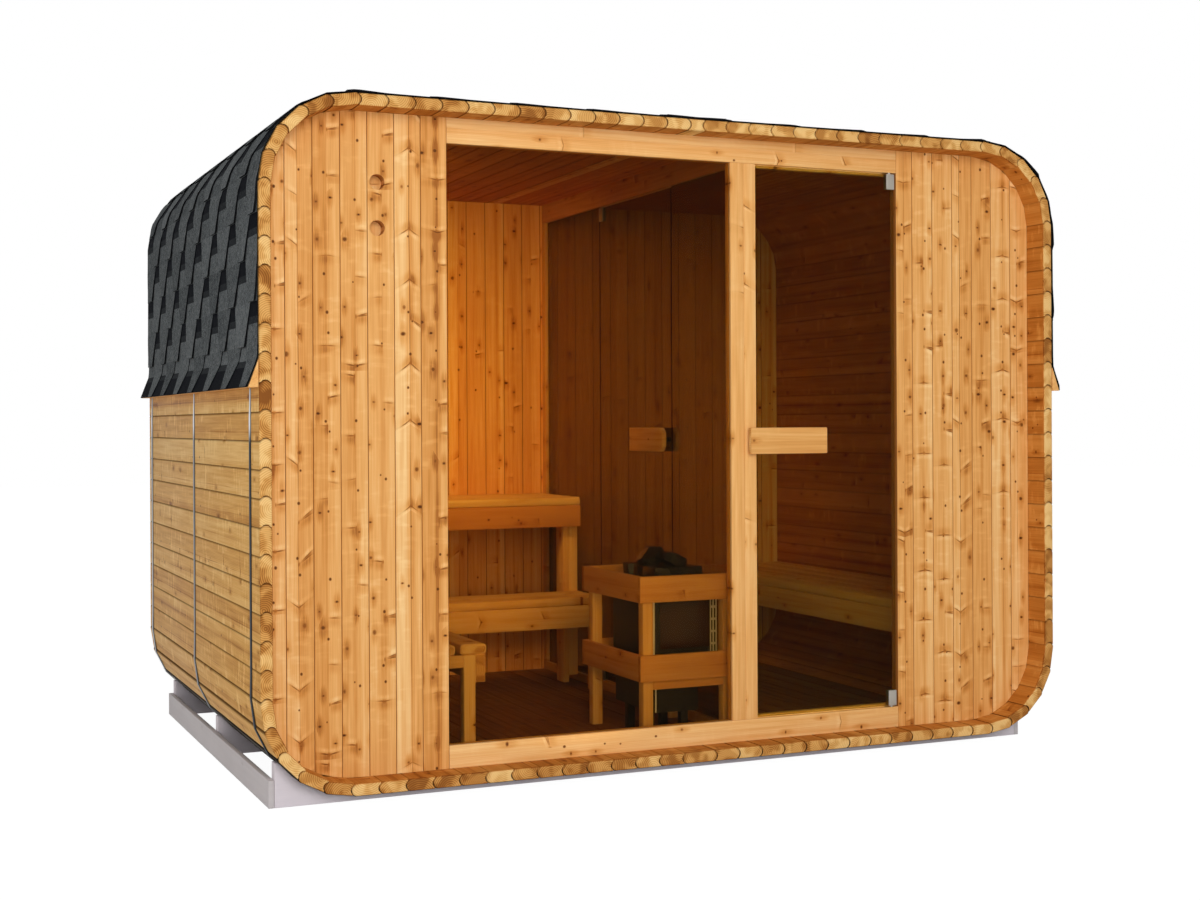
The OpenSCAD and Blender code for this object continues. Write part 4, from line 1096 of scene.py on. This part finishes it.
def roof():
    """The shingles of both sides course by course, and the ridge's row of short pieces, the back
    end of each tucked under the front of the one behind it."""
    e = ROOF_RUN[-1] / COURSES
    for side, mirror, seed in (("left", True, 31), ("right", False, 32)):
        part = Felt()
        dice = np.random.default_rng(seed)
        for k in range(COURSES):
            felt_strip(part, k, e, mirror, dice)
        fit(part.piece(f"roof_felt_{side}"), felt, f"shingles_{side}")
    cap = Felt()
    dice = np.random.default_rng(33)
    lo, hi = (np.array(c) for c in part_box("ridge_cap"))
    step = (BACK - FRONT) / CAP_PIECES
    x = np.linspace(lo[0], hi[0], 13)
    bed = course_height(COURSES - 1, e - np.abs(x), e)
    for k in range(CAP_PIECES):
        y = np.linspace(BACK - (k + 1) * step, BACK - k * step + (CAP_LAP if k else 0.0), 5)
        y = np.clip(y, FRONT, BACK)
        rise = np.linspace(CAP_RISE if k < CAP_PIECES - 1 else 0.0, 0.0, 5)[:, None]
        z = np.minimum(ROOF[-1, 1] + bed[None] + FELT_T + rise, hi[2])
        outer = np.stack([np.broadcast_to(x, z.shape), np.repeat(y[:, None], len(x), 1), z], -1)
        cap.sheet(outer, outer - [0, 0, CAP_T], np.zeros(5), dice.random(), True)
    fit(cap.piece("ridge_felt"), felt, "ridge_cap")


# ---- Fittings, base, benches, heater ----

def straps():
    """The three bands: a section flat on the wood and crowned outside by CROWN times 1 - u squared
    across it, carried round the shell's outline. The crown runs out to nothing under the felt and
    over the base."""
    foot = MID_LOW - THICK / 2 - SEAT
    crest = MID_HIGH + THICK / 2 + SEAT
    low = [shoulder(k, SEAT) for k in range(FIRST_LOW, FIRST_SIDE + 1)]
    high = [shoulder(k, SEAT) for k in range(FIRST_HIGH, FIRST_ROOF + 1)]
    side = [[OUTER_X + SEAT, z] for z in (0.45, 0.8, 1.1, 1.3, 1.32, 1.34, 1.36, 1.38, 1.39)]
    half = np.vstack([[0, foot], low, side, high, [0, crest]])
    loop = np.vstack([half, half[-2:0:-1] * [-1, 1]])
    way = np.roll(loop, -1, 0) - loop
    way /= np.linalg.norm(way, axis=1)[:, None]
    out = np.stack([way[:, 1], -way[:, 0]], 1)
    before = np.roll(out, 1, 0)
    out = (out + before) / (1 + (out * before).sum(1))[:, None]
    lo, hi = (np.array(c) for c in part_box("bands"))
    u = np.linspace(-1, 1, 9)
    crown = CROWN * np.interp(loop[:, 1], [0.11, 0.18, 1.30, 1.39], [0, 1, 1, 0])
    top = BAND_T + crown[:, None] * (1 - u ** 2)
    corners, faces, across = [], [], []
    n, m = len(loop), 2 * len(u)
    i, j = np.meshgrid(np.arange(n), np.arange(m), indexing="ij")
    a, b = (i * m + j).ravel(), (i * m + (j + 1) % m).ravel()
    c, d = ((i + 1) % n * m + (j + 1) % m).ravel(), ((i + 1) % n * m + j).ravel()
    quads = np.stack([a, d, c, b], 1)
    for k in range(3):
        y = lo[1] + BAND_W / 2 + k * (hi[1] - lo[1] - BAND_W) / 2 + u * BAND_W / 2
        height = np.hstack([top, np.zeros((n, len(u)))])
        xz = loop[:, None] + out[:, None] * height[..., None]
        ys = np.broadcast_to(np.concatenate([y, y[::-1]]), (n, m))
        corners.append(np.stack([xz[..., 0], ys, xz[..., 1]], -1).reshape(-1, 3))
        faces.append(quads + k * n * m)
        across.append(np.tile(np.concatenate([u, u[::-1]]), n))
    mesh = bpy.data.meshes.new("strap_bands")
    mesh.from_pydata(np.vstack(corners), [], np.vstack(faces).tolist())
    number(mesh, "across", "POINT", np.concatenate(across))
    fit(link("strap_bands", mesh, 40), strap, "bands")


HEATER_FOOT, HEATER_LOW = 0.1037, 0.1957  # from its soles to its lower part, and to its jacket


def trim(name, material, seed, strips):
    """Thin strips of metal, each given by its lowest and highest corners and its eased edge."""
    stock = Stock(seed)
    for lo, hi, r in strips:
        board(stock, lo, hi, r)
    fit(stock.piece(name), material)


def heater_trim():
    """The heater's bright front edges, its framed front panel, and the slotted rail on its right."""
    lo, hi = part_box("heater_body")
    x0, x1, y0, top = lo[0], hi[0], lo[1], hi[2]
    foot, low = lo[2] + HEATER_FOOT, lo[2] + HEATER_LOW
    edges = [((x0 + 0.0010, y0 - 0.0030, low + 0.003), (x0 + 0.0085, y0 - 0.0005, top - 0.003), 0.0006),
             ((x0 + 0.0145, y0 + 0.0105, foot + 0.002), (x0 + 0.0205, y0 + 0.0125, low - 0.002), 0.0004)]
    rails = [((x1 + x, y0 + 0.0240, low + 0.002), (x1 + x + 0.0065, y0 + 0.0255, top - 0.012), 0.0004)
             for x in (0.0, 0.0125, 0.025)]
    rungs = [((x1, y0 + 0.0241, z), (x1 + 0.031, y0 + 0.0254, z + 0.009), 0.0004)
             for z in np.arange(low + 0.012, top - 0.02, 0.047)]
    trim("heater_edges", highlight_steel, 1, edges + rails + rungs)
    trim("heater_flanges", enamel, 2,
         [((x1, y0 + 0.0300, low + 0.002), (x1 + 0.0315, y0 + 0.0320, top - 0.012), 0.0004),
          ((x0 + 0.0010, y0 - 0.0015, low + 0.003), (x0 + 0.0310, y0 + 0.0010, top - 0.003), 0.0006)])
    trim("heater_front_panel", dark_gloss, 3,
         [((x0 + 0.031, y0 - 0.0025, low + 0.150), (x1 - 0.015, y0 + 0.0005, top - 0.016), 0.0018)])


def joinery():
    """Benches and guard, each with its rounding and how far its level boards are darkened as painted
    shade, the legs left undarkened, then the partition, handles, base, fittings, heater and glass."""
    # each: its rounding, and how far its level boards are darkened as painted shade
    groups = {"upper_bench_slats": (0.009, 0.0), "upper_bench_frame": (0.0025, 0.95),
              "lower_bench_slats": (0.009, 0.0), "lower_bench_frame": (0.0025, 0.1),
              "side_bench_slats": (0.012, 0.0), "side_bench_frame": (0.0025, 0.0),
              "rest_bench_slats": (0.009, 0.2), "rest_bench_frame": (0.0025, 0.3),
              "heater_guard": (0.002, 0.62)}
    for order, (node, (r, painted_shade)) in enumerate(groups.items()):
        stock = Stock(300 + order)
        for lo, hi in boxes_of(node):
            leg = hi[2] - lo[2] > max(hi[0] - lo[0], hi[1] - lo[1])
            board(stock, lo, hi, r, 0.0 if leg else painted_shade)
        fit(stock.piece(node + "_timber"), slat_timber, node)
    fit(recut("partition_timber", "partition_frame", 0.002, 41), inner_timber,
        "partition_frame")
    stock = Stock(351)
    for lo, hi in boxes_of("door_handle"):
        board(stock, lo, hi, 0.004)
    fit(stock.piece("door_grip"), handle_timber, "door_handle", "front_door")
    fit(recut("inner_door_grip", "inner_door_handle", 0.003, 42), slat_timber,
        "inner_door_handle", "inner_door")
    for name, node, ease, material, slot, body in (
            ("cradle_boards", "cradles", 0.002, cradle_paint_lit, "base_paint", "house"),
            ("runner_boards", "runners", 0.002, paint, "base_paint", "house"),
            *((f"{node}_steel", node, 0.0008, satin, "fitting_steel", body) for node, body in (
                ("door_fittings", "front_door"), ("inner_door_fittings", "inner_door"),
                ("door_pivots", "house"), ("inner_door_pivots", "house"))),
            ("heater_jacket", "heater_body", 0.0015, enamel, "heater_steel", "house"),
            ("heater_rocks", "heater_stones", 0.003, rock, "heater_stone", "house")):
        fit(recut(name, node, ease), material, node, body)
    heater_trim()
    for node, material in (("window_glass", front_glass), ("door_glass", door_pane),
                           ("partition_panes", inner_glass), ("inner_door_glass", inner_glass)):
        finish_with(nodes[node], material)


staves()
end_walls()
roof()
straps()
joinery()


# ---- Stage ----

FLOOR_HALF = 30


def stage():
    """A pale floor, a white surround, and soft lamps at a plain level."""
    s = Shade("pale floor")
    lit = s.node("ShaderNodeBsdfDiffuse", {"Color": (0.80, 0.80, 0.80, 1)})
    white = s.node("ShaderNodeEmission", {"Color": (1, 1, 1, 1), "Strength": 1.12})
    both = s.node("ShaderNodeMixShader", {0: s.looked_at() * 0.86, 1: lit.outputs[0], 2: white.outputs[0]})
    s.node("ShaderNodeOutputMaterial", {0: both.outputs[0]})
    mesh = bpy.data.meshes.new("floor")
    corners = [(x * FLOOR_HALF, y * FLOOR_HALF, -0.001) for x, y in ((-1, -1), (1, -1), (1, 1), (-1, 1))]
    mesh.from_pydata(corners, [], [(0, 1, 2, 3)])
    floor = link("floor", mesh, 0)
    floor.data.materials.append(s.material)

    s = Shade("surround", world=True)
    soft = s.node("ShaderNodeBackground", {0: (1, 1, 1, 1), 1: 0.42})
    seen = s.node("ShaderNodeBackground", {0: (1, 1, 1, 1), 1: 1.0})
    both = s.node("ShaderNodeMixShader", {0: s.looked_at(), 1: soft.outputs[0], 2: seen.outputs[0]})
    s.node("ShaderNodeOutputWorld", {0: both.outputs[0]})
    bpy.context.scene.world = s.material

    def lamp(name, at, aim, size, power, colour=(1, 1, 1), spread=180, mirrored=True):
        """A round lamp that faces its aim. mirrored is whether gloss and glass show it."""
        data = bpy.data.lights.new(name, "AREA")
        data.shape, data.size, data.energy, data.color = "DISK", size, power, colour
        data.spread = np.radians(spread)
        made = bpy.data.objects.new(name, data)
        made.location = at
        made.visible_glossy = made.visible_transmission = mirrored
        way = np.array(aim, float) - np.array(at, float)
        flat = np.hypot(way[0], way[1])
        made.rotation_euler = (np.arctan2(flat, -way[2]), 0, np.arctan2(way[1], way[0]) - np.pi / 2)
        bpy.context.scene.collection.objects.link(made)

    lamp("key", (-2.2, -9.0, 3.2), (0, 0, 1.2), 5.0, 365)
    lamp("left fill", (-8.0, -2.0, 1.6), (0, 0, 0.9), 3.0, 55)
    lamp("room lamp", (-0.95, -0.60, 2.26), (-0.35, 0.85, 1.42), 0.20, 9.8, (1.0, 0.70, 0.26), 84)
    lamp("bench lamp", (-0.42, -1.70, 0.66), (-0.46, 0.60, 0.42), 0.5, 3.6, (1.0, 0.92, 0.80), 50, False)


def camera():
    """The view: turned about Z, tilted about X, and rolled a little."""
    data = bpy.data.cameras.new("view")
    data.lens, data.sensor_width = 50.43, 36.0
    data.shift_x, data.shift_y = -0.0285, -0.0210
    made = bpy.data.objects.new("view", data)
    turn = (Matrix.Rotation(np.radians(-24.514), 3, "Z") @ Matrix.Rotation(np.radians(90 - 0.061), 3, "X")
            @ Matrix.Rotation(np.radians(-0.284), 3, "Z"))
    made.matrix_world = Matrix.Translation((-2.772, -6.6825, 1.2768)) @ turn.to_4x4()
    bpy.context.scene.collection.objects.link(made)
    bpy.context.scene.camera = made


stage()
camera()
bpy.context.scene.view_settings.view_transform = "Standard"
